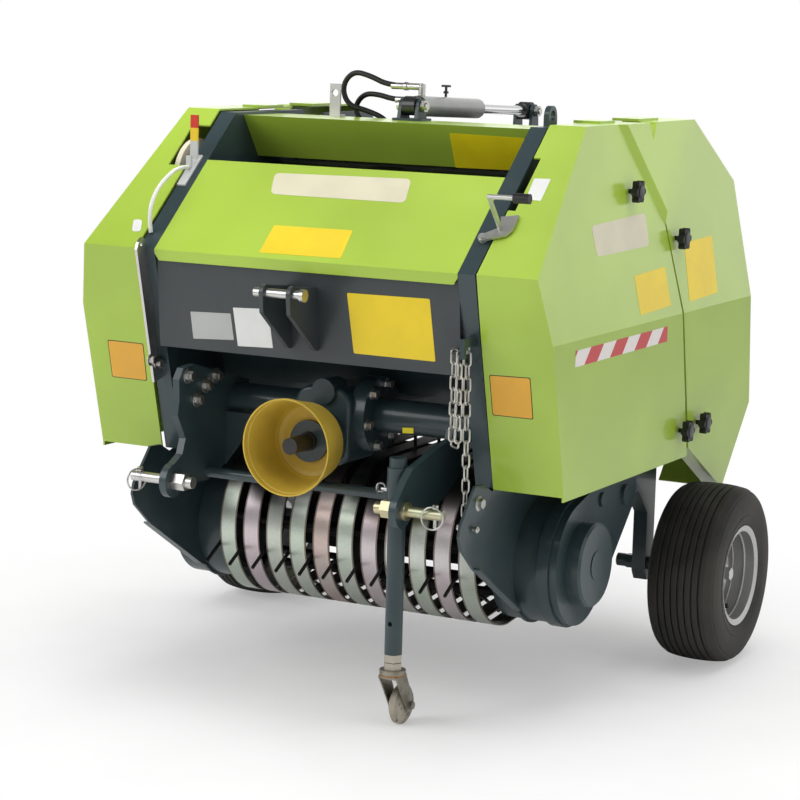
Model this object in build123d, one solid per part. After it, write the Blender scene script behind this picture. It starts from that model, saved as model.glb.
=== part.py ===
from build123d import *

import os
from math import atan2, cos, degrees, hypot, radians, sin, sqrt, tan

# A small fixed-chamber round baler on two wheels, parked on its jack. Millimetres.
# X runs to the right as seen from the front, Y to the rear and Z up, with the floor at Z = 0.
# Outlines in the Y-Z plane are counted from the side seam at the covers' fold line.

# Clearances
SEAT = 0.3             # between pieces that rest on each other
RUN = 5.0              # between pieces that move past each other
SEAM_GAP = 6.0         # between the front and the rear covers

# Chamber and frame
WALL_IN = 355.0        # inner face of a chamber wall
WALL_T = 6.0
RAIL_W = 32.0          # front rail, beyond the wall
RAIL_T = 8.0
RAIL_FOOT = (-606.0, 497.0)
RAIL_KNEE = (-719.0, 939.0)
RAIL_TOP = (-399.0, 1217.0)
RAIL_BACK_Y = -102.0
TOP_Z = 1223.0         # flat top of the covers
CHAMBER_Y = 5.0
CHAMBER_Z = 850.0
ROLLER_RING = 295.0    # roller axes lie on this radius
ROLLER_R = 42.0
ROLLER_JOURNAL_R = 14.0
ROLLER_RIBS = 8
ROLLER_PITCH = 22.5    # degrees between rollers
ROLLER_FIRST = -69.5   # first roller behind the feed opening, degrees from the rear
ROLLER_COUNT = 14
REAR_ROLLERS = 8       # of them, carried by the tailgate

# Side covers
COVER_IN = 398.0       # inner edge of a cover
COVER_OUT = 553.0      # outer face below the fold
COVER_TOP_OUT = 479.0  # outer face at the top
COVER_T = 4.0
FOLD_Z = 808.0
SEAM_TOP = (-77.0, 1221.0)
SEAM_LOW = (70.0, 489.0)
FRONT_TOP_Y = -398.0
FRONT_KNEE = (-723.0, 940.0)
FRONT_FOLD = (-692.0, 808.0)
FRONT_LOW = (-612.0, 495.0)
REAR_TOP_Y = 218.0
REAR_KNEE = (424.0, 1077.0)
REAR_FOLD = (447.0, 808.0)
REAR_LOW = (471.0, 553.0)
REAR_TOE = (305.0, 370.0)
REAR_HEEL = (77.0, 497.0)
RAISE_OUT = 12.0       # how far the raised corner of the front cover stands out
RAISE_DEPTH = 60.0     # of the block it is made from, less than the cover's width at the top
RAISE_BACK = 126.0     # its length along the top
RAISE_DROP = 190.0     # its reach down the seam
RAISE_FOOT = 1.17      # size of the slope's foot against the raised corner
SKIRT = 9.0            # how far a front cover's outer sheet hangs below the rest
FLANGE_W = 40.0        # folded edge of a rear cover
FLAP_X = (378.0, 440.0)
FLAP_T = 5.0
FLAPS = {"front": (-233.0, -155.0), "rear": (-22.0, 95.0)}   # y of the sheets on top

# Cover knobs: y, z and the cover that they hold
KNOBS = (
    (-214.0, 1084.0, "front"), (15.0, 971.0, "rear"),
    (15.0, 546.0, "front"), (122.0, 550.0, "rear"))
KNOB_STAND = 13.0      # knob heads stand this far off the cover
KNOB_T = 15.0
KNOB_R = 19.0
KNOB_LOBES = 6
KNOB_BAR_R = 9.0
STUD_R = 5.0

# Tailgate hinge and its cylinder
HINGE = (-62.0, 1160.0)
HINGE_PIN_R = 12.0
LUG_R = 26.0
EAR_R = 24.0
LUG_T = 8.0
LUG_GAP = 1.0
V_ANGLE = 50.0         # notch above the hinge, degrees
CYL_FRONT = (-247.0, 1243.0)
CYL_REAR = (348.0, 1220.0)
BARREL_R = 22.5
BARREL_LEN = 322.0
BARREL_WALL = 5.0
SCREW_ALONG = 162.0    # bleed screw, along the barrel
ROD_R = 11.0
ROD_IN = 170.0         # the rod's inner end, along the barrel
EYE_R = 21.0
EYE_W = 30.0
EYE_PLAY = 7.0         # room for the rod's eye to drift round its pin
CYL_PIN_R = 8.0
EAR_GAP = 17.0         # half the room between two ears
REAR_BEAM = (356.0, 1090.0)
LOW_BEAM = (330.0, 470.0)
BEAM_W = 40.0
CROSS_BEAM = (-125.0, 1190.0)

# Hood, front plate and top beam
HOOD_T = 3.0
HOOD_FLANGE = 26.0
HOOD_TOP = (-514.0, 1118.0)
HOOD_LIP = (-716.0, 916.0)
PLATE_T = 4.0
PLATE_LOW = (-691.0, 732.0)
PLATE_TOP = (-708.6, 924.0)
BEAM_FRONT = (-368.0, 1211.0)
BEAM_LOW = (-303.0, 1119.0)
BEAM_BACK = (-205.0, 1113.0)
BEAM_T = 4.0

THROAT_LINE = ((-600.0, 752.0), (-452.0, 722.0), (-424.0, 640.0), (-410.0, 612.0), (-300.0, 606.0))
BACK_LINE = ((-112.0, 205.0), (-94.0, 330.0), (-40.0, 462.0))
PANEL_T = 3.0

# Drive
PTO_Z = 561.0
PTO_R = 17.5
PTO_ROOT_R = 20.0
PTO_TIP_Y = -749.0
PTO_ROOT_Y = -680.0
SHIELD_FRONT_Y = -767.0
SHIELD_BACK_Y = -660.0
SHIELD_R = 101.0
SHIELD_BACK_R = 82.0
SHIELD_T = 3.0
NECK_R = 60.0
NOSE_R = 43.7
NOSE_Y = -672.0
TUBE_Y = -525.0
TUBE_Z = 607.0
TUBE_R = 36.0
GEAR_HALF = 66.0
GEAR_ROUND = 38.0
GEAR_NOSE_ROUND = 10.0
GEAR_FRONT_Y = -618.0
GEAR_BACK_Y = -485.0
FLANGE_R = 80.0
FLANGE_X = 72.0
FLANGE_T = 20.0
FLANGE_BOLT_R = 66.0

# Three-point linkage
ARM_IN = 262.0
ARM_T = 16.0
ARM_EYE = (-772.0, 464.0)
ARM_EYE_R = 36.0
HITCH_PIN_R = {"right": 11.0, "left": 10.75}   # free ends
HITCH_ROOT_R = 12.5
HITCH_PIN_TIP = 366.0
HITCH_PIN_END = 216.0
CROSSBAR = (-645.0, 464.0)
CROSSBAR_R = 11.0
TOP_LINK = (-800.0, 879.0)
TOP_LINK_R = 9.5
TOP_EAR_R = 17.0
TOP_EAR_X = (-40.0, 23.0)   # inner x of each ear plate
TOP_EAR_T = 9.0
TOP_EAR_LOW = 756.0

# Jack with its castor
JACK_Y = -727.0
JACK_R = 18.0
JACK_WALL = 4.0
JACK_TOP_Z = 561.0
JACK_FOOT_Z = 155.0
JACK_HOLE_Z = 221.0
JACK_HOLE_R = 5.0
SLEEVE_T = 3.7
SLEEVE_Z = (477.0, 541.0)
LOCK_Z = 493.0
CASTER_R = 41.0
CASTER_W = 30.0
CASTER_TRAIL = 42.0
FORK_TOP = 124.0
FORK_T = 3.0

# Pickup
REEL_Y = -351.0
REEL_Z = 305.0
SHAFT_R = 15.0
BAND_Y = -374.0
BAND_Z = 325.0
BAND_R = 169.0
BAND_W = 40.0
BAND_T = 3.0
BAND_PITCH = 58.0
BAND_COUNT = 11
BAND_FIRST = -290.0    # left edge of the first band
BAND_TOP_END = (27.0, 500.0)
BAND_LOW_END = (-125.0, 178.0)
TINE_TIP_R = 238.0
TINE_BASE_R = 100.0
TINE_LEAN = 70.0       # how far a tine's line passes from the shaft
TINE_W = 5.5
TINE_ROWS = 3
TINE_PHASE = 193.0
TINE_BAR_R = 9.0
DRUM_R = 133.0
DRUM_RIM = 6.0
DRUM_LEFT = (-445.0, -313.0)
DRUM_TUCK = 10.0         # the right drum starts this far before the last gap between bands ends
DRUM_RIGHT_IN = BAND_FIRST + BAND_COUNT * BAND_PITCH - DRUM_TUCK
SHAFT_SHARE = 5 / 11      # how much of the way to the side case the shaft goes inside that drum
RIM_SHARE = 13 / 66       # and how much of that drum its rim takes, at the case
CASE_X = 470.0
CASE_T = 16.0
CASE_TOP = (-125.0, 430.0)
CASE_TOP_R = 68.0
CASE_PLUG = (-253.0, 426.0)
CAP_R = 90.0
CAP_OUT = 521.0
CAP_BOSS_R = 31.0
PIVOT_TUBE = (-127.0, 418.0)
SIDE_X = 384.0         # inner face of a pickup side plate
SIDE_T = 6.0
SIDE_FOLD = 13.0       # reach of its folded edge
SIDE_EDGE = ((-675.0, 340.0), (-466.0, 213.0))

# Wheels
TYRE_R = 203.0
TYRE_W = 165.0
TYRE_CLEAR = 13.45     # from the rear covers' lower edge
WHEEL_GAP = 65.5       # from a tyre to its leg
RIM_R = 101.0
RIM_FLANGE_R = 114.0
RIM_W = 152.0
HUB_R = 32.0
HUB_FACE = 38.0        # outer end of the hub, from the middle of the wheel
SPINDLE_R = 15.0
LEG_W = 33.0
LEG_DEEP = 46.0
LEG_FOOT = 14.0        # how much the foot tapers at each side
LEG_X = 405.0          # inner face of a wheel leg
LEG_TOP = 432.0
LEG_BRACE = 60.0       # slope between the leg and its upper bar
LEG_FRONT_Y = -60.0

# Lift chain: links stand in turn across and along
LINK_L = 34.5
LINK_W = 19.0
LINK_WIRE = 4.2
CHAIN_TOP_Z = 795.0
HOOK_R = 3.5
TAUT_TOP = (373.0, -700.0, CHAIN_TOP_Z)
TAUT_LOW = (371.0, -683.0, 422.0)
TAUT_LINKS = 15
LOOSE_A = (350.0, -711.0)
LOOSE_B = (369.0, -724.0)
LOOSE_LINKS = 7
LOOSE_DROP = 22.0      # the loose strands hang this much below the taut one

# Small pieces on the rails and on the beam
CRANK_BOLT = (376.0, 93.5)     # x and distance up the slope from the knee
CRANK_ROD = (406.0, 118.0)
CRANK_REACH = 90.0
CRANK_GRIP = (461.0, 495.0)
INDICATOR_X = (-396.0, -377.0)
INDICATOR_Y = -517.0
INDICATOR_TOP = 1213.0
DISC = (-438.0, 1072.0)        # twine disc, y and z
DISC_R = 86.0
DISC_X = -424.0
EYE_PLATE = (-287.0, 1237.5)   # y and z of the lifting eye
EYE_PLATE_R = 20.5
EYE_BORE_R = 11.0
LEVER_X = (-383.0, -377.0)
LEVER_W = 31.0
LEVER_FOOT_Z = 657.0
LEVER_EYE = (15.0, 9.0)        # in front of the rail's knee and above it
HOSE_R = 6.0
TUBE_R_WHITE = 4.5
PORT_X = -34.0         # outer face of the cylinder's fittings
PORTS = ((44.0, 42.0), (66.0, 12.0))   # along the barrel and above its axis

HOSE_BLOCK_Z = 1140.0
HOSE_LONG = ((-84, -203, 1284), (-130, -200, 1303), (-176, -197, 1312), (-205, -194, 1278),
             (-191, -192, 1236),
             (-142, -190, 1226), (-95, -188, 1209), (-72, -186, 1172))
HOSE_SHORT = ((-80, -179, 1252), (-122, -174, 1262), (-164, -166, 1262), (-190, -161, 1232),
              (-174, -160, 1200),
              (-134, -163, 1190), (-104, -168, 1172))
TWINE_TUBE = ((-686.3, 970.8), (-694, 1006), (-681, 1040), (-654, 1068), (-619, 1088), (-583, 1102.5),
              (-544.2, 1102.5))

FRAME_Y = (-(TOP_LINK[0] - TOP_EAR_R) - REAR_LOW[0]) / 2   # brings the middle of the length to the origin

parts = {}
both_sides = (("right", 1), ("left", -1))


def yz_prism(points, x0, x1):
    face = Plane.YZ.offset(x0) * make_face(Polyline(*points, close=True))
    return extrude(face, abs(x1 - x0), dir=(1 if x1 > x0 else -1, 0, 0))


def xz_prism(points, y0, y1):
    face = make_face(Polyline(*[(x, y0, z) for x, z in points], close=True))
    return extrude(face, abs(y1 - y0), dir=(0, 1 if y1 > y0 else -1, 0))


def x_rod(r, x0, x1, y, z):
    return Pos((x0 + x1) / 2, y, z) * Rot(0, 90, 0) * Cylinder(r, abs(x1 - x0))


def y_rod(r, y0, y1, x, z):
    return Pos(x, (y0 + y1) / 2, z) * Rot(90, 0, 0) * Cylinder(r, abs(y1 - y0))


def z_rod(r, z0, z1, x, y):
    return Pos(x, y, (z0 + z1) / 2) * Cylinder(r, abs(z1 - z0))


def rod(start, end, r):
    start, end = Vector(*start), Vector(*end)
    plane = Plane(origin=start, z_dir=end - start)
    return plane * Cylinder(r, (end - start).length, align=(Align.CENTER, Align.CENTER, Align.MIN))


def hex_x(across, x0, x1, y, z):
    face = Plane.YZ.offset(min(x0, x1)) * (Pos(y, z) * RegularPolygon(across / 2, 6, major_radius=False))
    return extrude(face, abs(x1 - x0), dir=(1, 0, 0))


def box(x0, x1, y0, y1, z0, z1):
    return Pos((x0 + x1) / 2, (y0 + y1) / 2, (z0 + z1) / 2) * Box(abs(x1 - x0), abs(y1 - y0), abs(z1 - z0))


def on_side(shape, s):
    return shape if s > 0 else mirror(shape, about=Plane.YZ)


def turned(profile):
    """Solid of revolution about X, from a list of (x, radius)."""
    face = make_face(Polyline(*[(x, r, 0) for x, r in profile], close=True))
    return revolve(face, Axis.X)


def strip(points, t):
    """Outline of a bent strip: the given line and the same line moved sideways by t."""
    moved = []
    for i, (y, z) in enumerate(points):
        normals = []
        for a, b in ((i - 1, i), (i, i + 1)):
            if a >= 0 and b < len(points):
                dy, dz = points[b][0] - points[a][0], points[b][1] - points[a][1]
                length = hypot(dy, dz)
                normals.append((dz / length, -dy / length))
        ny = sum(n[0] for n in normals) / len(normals)
        nz = sum(n[1] for n in normals) / len(normals)
        grow = t / (ny * ny + nz * nz)
        moved.append((y + ny * grow, z + nz * grow))
    return list(points) + moved[::-1]


# Side seam
seam_slope = (SEAM_LOW[0] - SEAM_TOP[0]) / (SEAM_TOP[1] - SEAM_LOW[1])
half_gap = SEAM_GAP / 2
v_top_y = HINGE[0] + (TOP_Z - HINGE[1]) * tan(radians(V_ANGLE) - atan2(seam_slope, 1))


def seam_y(z):
    return SEAM_TOP[0] + (SEAM_TOP[1] - z) * seam_slope


# Lift chain: links in reach of each other, the hook in its top links and the rod in its last one
link_pitch = LINK_L - 2 * LINK_WIRE - SEAT
hook_reach = LINK_L / 2 - LINK_WIRE - SEAT - HOOK_R
hook_z = CHAIN_TOP_Z + hook_reach
taut = (Vector(*TAUT_LOW) - Vector(*TAUT_TOP)).normalized()
taut_end = Vector(*TAUT_TOP) + taut * ((TAUT_LINKS - 1) * link_pitch + hook_reach)

# Side covers
lean = (COVER_OUT - COVER_TOP_OUT) / (TOP_Z - FOLD_Z)
far = 600.0


def beyond(out):
    """All that lies outside the leaning face, moved out by the given amount."""
    low = COVER_OUT + out
    return xz_prism([(low, FOLD_Z), (low - lean * far, FOLD_Z + far), (low + far, FOLD_Z + far),
                     (low + far, FOLD_Z)],
                    -2 * far, 2 * far)


def shell(outline, room):
    """Sheet cover on the +X side, open inwards."""
    body = yz_prism(outline, COVER_IN, COVER_OUT) - beyond(0)
    return body - (yz_prism(room, COVER_IN - 1, COVER_OUT - COVER_T) - beyond(-COVER_T))


front_outline = [(FRONT_TOP_Y, TOP_Z), FRONT_KNEE, FRONT_FOLD, FRONT_LOW,
                 (seam_y(SEAM_LOW[1]) - half_gap, SEAM_LOW[1]), (seam_y(TOP_Z) - half_gap, TOP_Z)]
below = (FRONT_LOW[0] + 20, FRONT_LOW[1] - 80)
past_seam = (SEAM_LOW[0] + 80, FRONT_LOW[1] - 80)
front_edge = [(60.0, TOP_Z), (FRONT_TOP_Y, TOP_Z), FRONT_KNEE, FRONT_FOLD, FRONT_LOW, below]
front_room = strip(front_edge, -COVER_T)[len(front_edge):] + [past_seam]
skirt_line = [FRONT_LOW, (seam_y(SEAM_LOW[1]) - half_gap, SEAM_LOW[1])]
skirt = yz_prism(strip(skirt_line, SKIRT), COVER_OUT - COVER_T, COVER_OUT)


def corner_line(size, out):
    """Ends of a line across the cover's upper rear corner, and the corner itself, on the face moved out."""
    low_z = TOP_Z - size * RAISE_DROP
    corner = seam_y(TOP_Z) - half_gap
    spots = [(corner - size * RAISE_BACK, TOP_Z), (seam_y(low_z) - half_gap, low_z), (corner, TOP_Z)]
    return [(COVER_OUT + out - (z - FOLD_Z) * lean, y, z) for y, z in spots]


foot_line, raised = corner_line(RAISE_FOOT, 0), corner_line(1, RAISE_OUT)
slope_face = make_face(Polyline(*foot_line[:2], raised[1], raised[0], close=True))
wedge = extrude(slope_face, RAISE_DEPTH, dir=(-1, 0, 0)) \
    + extrude(make_face(Polyline(*raised, close=True)), RAISE_DEPTH, dir=(-1, 0, 0))
front_body = yz_prism(front_outline, COVER_IN, COVER_OUT) - beyond(0) + wedge
hollow = yz_prism(front_room, COVER_IN - 1, COVER_OUT - COVER_T) - beyond(-COVER_T)
hollow = hollow + (Pos(-COVER_T, 0, 0) * wedge & yz_prism(front_room, COVER_IN - 1, COVER_OUT + RAISE_OUT))
front_cover = front_body - hollow + skirt

rear_outline = [(v_top_y, TOP_Z), (REAR_TOP_Y, TOP_Z), REAR_KNEE, REAR_FOLD, REAR_LOW, REAR_TOE, REAR_HEEL,
                (seam_y(HINGE[1]) + half_gap, HINGE[1])]
rear_edge = [(-150.0, TOP_Z), (REAR_TOP_Y, TOP_Z), REAR_KNEE, REAR_FOLD, REAR_LOW,
             (REAR_TOE[0] - 30, REAR_TOE[1] - 33)]
rear_room = strip(rear_edge, COVER_T)[len(rear_edge):]
rear_room = rear_room + [(-300.0, TOP_Z - COVER_T), (-300.0, REAR_TOE[1] - 33)]
rear_cover = shell(rear_outline, rear_room)
low_flange = yz_prism(strip([REAR_HEEL, REAR_TOE], -COVER_T), COVER_OUT - FLANGE_W, COVER_OUT - 1)
notch = [(v_top_y, TOP_Z - 1), (seam_y(HINGE[1]) + half_gap, HINGE[1])]
notch_flange = yz_prism(strip(notch, -COVER_T), COVER_TOP_OUT - FLANGE_W, COVER_OUT) - beyond(-1)
rear_cover = rear_cover + low_flange + notch_flange
flap = {name: box(*FLAP_X, y0, y1, TOP_Z - 1, TOP_Z + FLAP_T) for name, (y0, y1) in FLAPS.items()}
covers = {"front": front_cover + flap["front"], "rear": rear_cover + flap["rear"]}


def knob(y, z):
    face_x = COVER_OUT - max(0.0, z - FOLD_Z) * lean
    head_in, head_out = face_x + KNOB_STAND, face_x + KNOB_STAND + KNOB_T
    bar = x_rod(KNOB_BAR_R, WALL_IN + WALL_T + SEAT, face_x - COVER_T - 4, y, z)
    lobes = []
    for k in range(KNOB_LOBES):
        a = radians(360 / KNOB_LOBES * k)
        lobes.append(x_rod(KNOB_R / 3, head_in, head_out, y + KNOB_R * cos(a), z + KNOB_R * sin(a)))
    head = x_rod(KNOB_R, head_in, head_out, y, z) + lobes
    return head + x_rod(STUD_R, face_x - 40, head_in + 1, y, z) + bar


slope_len = hypot(RAIL_TOP[0] - RAIL_KNEE[0], RAIL_TOP[1] - RAIL_KNEE[1])
slope_y = (RAIL_TOP[0] - RAIL_KNEE[0]) / slope_len
slope_z = (RAIL_TOP[1] - RAIL_KNEE[1]) / slope_len


def on_slope(s, lift):
    """Y and Z at a distance s up the rail's slope, lifted off its face."""
    return RAIL_KNEE[0] + s * slope_y - lift * slope_z, RAIL_KNEE[1] + s * slope_z + lift * slope_y


def slope_box(x0, x1, s0, s1, lift0, lift1):
    corners = [on_slope(s0, lift0), on_slope(s1, lift0), on_slope(s1, lift1), on_slope(s0, lift1)]
    return yz_prism(corners, x0, x1)


def slope_at(y):
    return (y - RAIL_KNEE[0]) / slope_y


knobs = {"front": [], "rear": []}
for side, s in both_sides:
    for y, z, which in KNOBS:
        knobs[which].append(on_side(knob(y, z), s))
for side, s in both_sides:
    for which in ("front", "rear"):
        sheet = covers[which]
        for y, z, held in KNOBS:
            if held == which:
                sheet = sheet - x_rod(STUD_R + SEAT, COVER_IN, COVER_OUT + RAISE_OUT, y, z)
        if which == "front" and s < 0:
            sheet = sheet - slope_box(COVER_IN - 1, 442, slope_at(-532), slope_at(-436), -12, 12)
        if which == "front" and s > 0:
            sheet = sheet - slope_box(COVER_IN - 1, 414, slope_at(-585), slope_at(-470), -12, 12)
        parts[f"{which}_cover_{side}"] = on_side(sheet, s)
parts["front_knobs"] = Compound(knobs["front"])
parts["rear_knobs"] = Compound(knobs["rear"])

# Chamber walls with their rails, hinge pins and, on the right, the chain's hook
rail_line = [RAIL_FOOT, RAIL_KNEE, RAIL_TOP, (RAIL_BACK_Y, RAIL_TOP[1])]
EAR_X = WALL_IN + WALL_T + LUG_GAP
lug_low = HINGE[1] - 2 * LUG_R
wall_top = RAIL_TOP[1] - RAIL_T
front_wall = rail_line + [(HINGE[0] - LUG_R - 12, wall_top), (HINGE[0] - LUG_R, HINGE[1]),
                          (seam_y(lug_low) - half_gap, lug_low), (seam_y(440) - half_gap, 440.0),
                          (20.0, 384.0), (-100.0, 380.0), (-440.0, 470.0)]
rear_wall = [(REAR_HEEL[0] + 4, REAR_HEEL[1] - 10), (REAR_TOE[0], REAR_TOE[1] + 12),
             (REAR_LOW[0] - 20, REAR_LOW[1] + 2), (REAR_FOLD[0] - 12, REAR_FOLD[1]),
             (REAR_KNEE[0] - 10, REAR_KNEE[1] - 5), (REAR_TOP_Y - 6, wall_top), (v_top_y + 10, wall_top),
             (HINGE[0] + LUG_R, HINGE[1]), (seam_y(lug_low) + half_gap, lug_low)]
ear = [(HINGE[0] - 8, HINGE[1] + EAR_R - 2), (HINGE[0] + 70, HINGE[1] + 10),
       (HINGE[0] + 120, HINGE[1] - 90),
       (HINGE[0] + 40, HINGE[1] - 110), (HINGE[0] - 22, HINGE[1] - 10)]

for side, s in both_sides:
    wall = yz_prism(front_wall, WALL_IN, WALL_IN + WALL_T) + x_rod(LUG_R, WALL_IN, WALL_IN + WALL_T, *HINGE)
    wall = wall + yz_prism(strip(rail_line, RAIL_T), WALL_IN, WALL_IN + WALL_T + RAIL_W)
    wall = wall + x_rod(HINGE_PIN_R, WALL_IN + 1, EAR_X + LUG_T + 8, *HINGE)
    if s > 0:
        hook_y = TAUT_TOP[1] - 33
        wall = wall + box(379, 385, hook_y, -676, hook_z - 9, hook_z + 9)
        wall = wall + x_rod(HOOK_R, TAUT_TOP[0] - 8, 380, TAUT_TOP[1], hook_z)
        step_x, step_y = LOOSE_B[0] - LOOSE_A[0], LOOSE_B[1] - LOOSE_A[1]
        loose_z = hook_z - LOOSE_DROP
        wall = wall + rod((LOOSE_A[0] - step_x * 0.4, LOOSE_A[1] - step_y * 0.4, loose_z),
                          (LOOSE_B[0] + step_x * 0.66, LOOSE_B[1] + step_y * 0.66, loose_z), HOOK_R)
        wall = wall + box(376, 385, hook_y - 8, hook_y + 4, loose_z - 9, hook_z + 9)
    parts["chamber_wall_" + side] = on_side(wall, s)
    gate = yz_prism(rear_wall, WALL_IN, WALL_IN + WALL_T) - x_rod(LUG_R + RUN, WALL_IN - 1, EAR_X, *HINGE)
    tongue = yz_prism(ear, EAR_X, EAR_X + LUG_T) + x_rod(EAR_R, EAR_X, EAR_X + LUG_T, *HINGE)
    pad = yz_prism(ear, WALL_IN + WALL_T - 1, EAR_X + 1) - x_rod(LUG_R + RUN, WALL_IN, EAR_X + 2, *HINGE)
    pad = pad & yz_prism(rear_wall, WALL_IN, EAR_X + 2)
    gate = gate + pad + tongue - x_rod(HINGE_PIN_R + SEAT, WALL_IN, EAR_X + LUG_T + 1, *HINGE)
    parts["tailgate_wall_" + side] = on_side(gate, s)

# Chamber rollers, ribbed, between the walls
rollers = {"tailgate": [], "front": []}
for k in range(ROLLER_COUNT):
    a = radians(ROLLER_FIRST + k * ROLLER_PITCH)
    y, z = CHAMBER_Y + ROLLER_RING * cos(a), CHAMBER_Z + ROLLER_RING * sin(a)
    drum = x_rod(ROLLER_R - 3, -WALL_IN + 4, WALL_IN - 4, y, z)
    ribs = []
    for r in range(ROLLER_RIBS):
        rib = box(-WALL_IN + 8, WALL_IN - 8, -3, 3, ROLLER_R - 5, ROLLER_R)
        ribs.append(Pos(0, y, z) * Rot(360 / ROLLER_RIBS * r, 0, 0) * rib)
    journal = x_rod(ROLLER_JOURNAL_R, -WALL_IN + SEAT, WALL_IN - SEAT, y, z)
    rollers["tailgate" if k < REAR_ROLLERS else "front"].append(drum + ribs + journal)
parts["tailgate_rollers"] = Compound(rollers["tailgate"])
parts["front_rollers"] = Compound(rollers["front"])

# Cross tubes
inside = WALL_IN - SEAT


def cross_tube(y, z, deep, high, t):
    return box(-inside, inside, y - deep / 2, y + deep / 2, z - high / 2, z + high / 2) \
        - box(-WALL_IN, WALL_IN, y - deep / 2 + t, y + deep / 2 - t, z - high / 2 + t, z + high / 2 - t)


parts["tailgate_beams"] = Compound([cross_tube(*REAR_BEAM, BEAM_W, BEAM_W, 4),
                                    cross_tube(*LOW_BEAM, BEAM_W, BEAM_W, 4)])
beam_line = [(BEAM_BACK[0], BEAM_FRONT[1]), BEAM_FRONT, BEAM_LOW, BEAM_BACK]
parts["top_beam"] = yz_prism(strip(beam_line, -BEAM_T), -inside, inside)
throat = yz_prism(strip(THROAT_LINE, PANEL_T), -inside, inside)
parts["frame_crosspieces"] = Compound([cross_tube(*CROSS_BEAM, 44, 32, 3), throat])


def bracket(pin, foot_z, half_len):
    """Foot plate, two ears and the pin through them."""
    ears = box(-36, 36, pin[0] - half_len, pin[0] + half_len, foot_z, foot_z + 5)
    for x in (EAR_GAP, -EAR_GAP - LUG_T):
        one = yz_prism([(pin[0] - half_len, foot_z), (pin[0] + half_len, foot_z), (pin[0] + 16, pin[1]),
                        (pin[0] - 16, pin[1])], x, x + LUG_T)
        ears = ears + one + x_rod(16, x, x + LUG_T, *pin)
    ears = ears + x_rod(CYL_PIN_R, -EAR_GAP - LUG_T - 6, EAR_GAP + LUG_T + 14, *pin)
    return ears + hex_x(24, EAR_GAP + LUG_T - 1, EAR_GAP + LUG_T + 10, *pin) \
        + x_rod(12, -EAR_GAP - LUG_T - 8, -EAR_GAP - LUG_T + 1, *pin)


parts["cylinder_front_bracket"] = bracket(CYL_FRONT, BEAM_FRONT[1] + SEAT, 24)
parts["cylinder_rear_bracket"] = bracket(CYL_REAR, REAR_BEAM[1] + BEAM_W / 2 + SEAT, 26)

# Hydraulic cylinder, made along Y and turned to the line between its pins
run_y, run_z = CYL_REAR[0] - CYL_FRONT[0], CYL_REAR[1] - CYL_FRONT[1]
cyl_len = hypot(run_y, run_z)
to_cylinder = Pos(0, *CYL_FRONT) * Rot(degrees(atan2(run_z, run_y)), 0, 0)
barrel = y_rod(BARREL_R, 24, BARREL_LEN, 0, 0) + x_rod(EYE_R, -EYE_W / 2, EYE_W / 2, 0, 0) \
    + y_rod(EYE_W / 2 - 1, 10, 30, 0, 0) - x_rod(CYL_PIN_R + SEAT, -30, 30, 0, 0)
barrel = barrel - y_rod(BARREL_R - BARREL_WALL, 60, BARREL_LEN - 25, 0, 0)
barrel = barrel - y_rod(ROD_R + SEAT, 50, BARREL_LEN + 5, 0, 0)
(a_along, a_up), (b_along, b_up) = PORTS
barrel = barrel + z_rod(8, 15, a_up + 6, 0, a_along) + x_rod(HOSE_R + 1.5, PORT_X, 4, a_along, a_up)
barrel = barrel + x_rod(HOSE_R + 1.5, PORT_X, -15, b_along, b_up)
barrel = barrel + z_rod(3, BARREL_R - 2, BARREL_R + 24, 0, SCREW_ALONG)
barrel = barrel + z_rod(6, BARREL_R + 8, BARREL_R + 13, 0, SCREW_ALONG)
barrel = barrel + box(-10, 10, SCREW_ALONG - 4, SCREW_ALONG + 4, BARREL_R + 22, BARREL_R + 27)
parts["cylinder_barrel"] = to_cylinder * barrel
piston = y_rod(ROD_R, ROD_IN, cyl_len - EYE_R + 4, 0, 0) + x_rod(EYE_R, -EYE_W / 2, EYE_W / 2, cyl_len, 0) \
    + y_rod(ROD_R + 5, cyl_len - EYE_R - 10, cyl_len - EYE_R + 6, 0, 0) \
    + y_rod(BARREL_R - BARREL_WALL - SEAT, ROD_IN, ROD_IN + 25, 0, 0)
parts["cylinder_rod"] = to_cylinder * (piston - x_rod(CYL_PIN_R + EYE_PLAY, -30, 30, cyl_len, 0))

# Hood with its folded sides, and the front plate
hood_line = [HOOD_TOP, RAIL_KNEE, HOOD_LIP]
hood = yz_prism(strip(hood_line, -HOOD_T), -inside, inside)
fold = yz_prism(strip(hood_line, -HOOD_FLANGE), inside - HOOD_T, inside)
hood = hood + fold + mirror(fold, about=Plane.YZ)
lip = 16.0
low_corner = [(inside + 1, HOOD_LIP[1] + lip), (inside + 1, HOOD_LIP[1] - 9), (inside - lip, HOOD_LIP[1] - 9)]
cut = xz_prism(low_corner, HOOD_LIP[0] - 20, HOOD_LIP[0] + 40)
parts["hood"] = hood - cut - mirror(cut, about=Plane.YZ)
parts["front_plate"] = yz_prism(strip([PLATE_LOW, PLATE_TOP], PLATE_T), -inside, inside)

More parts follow.
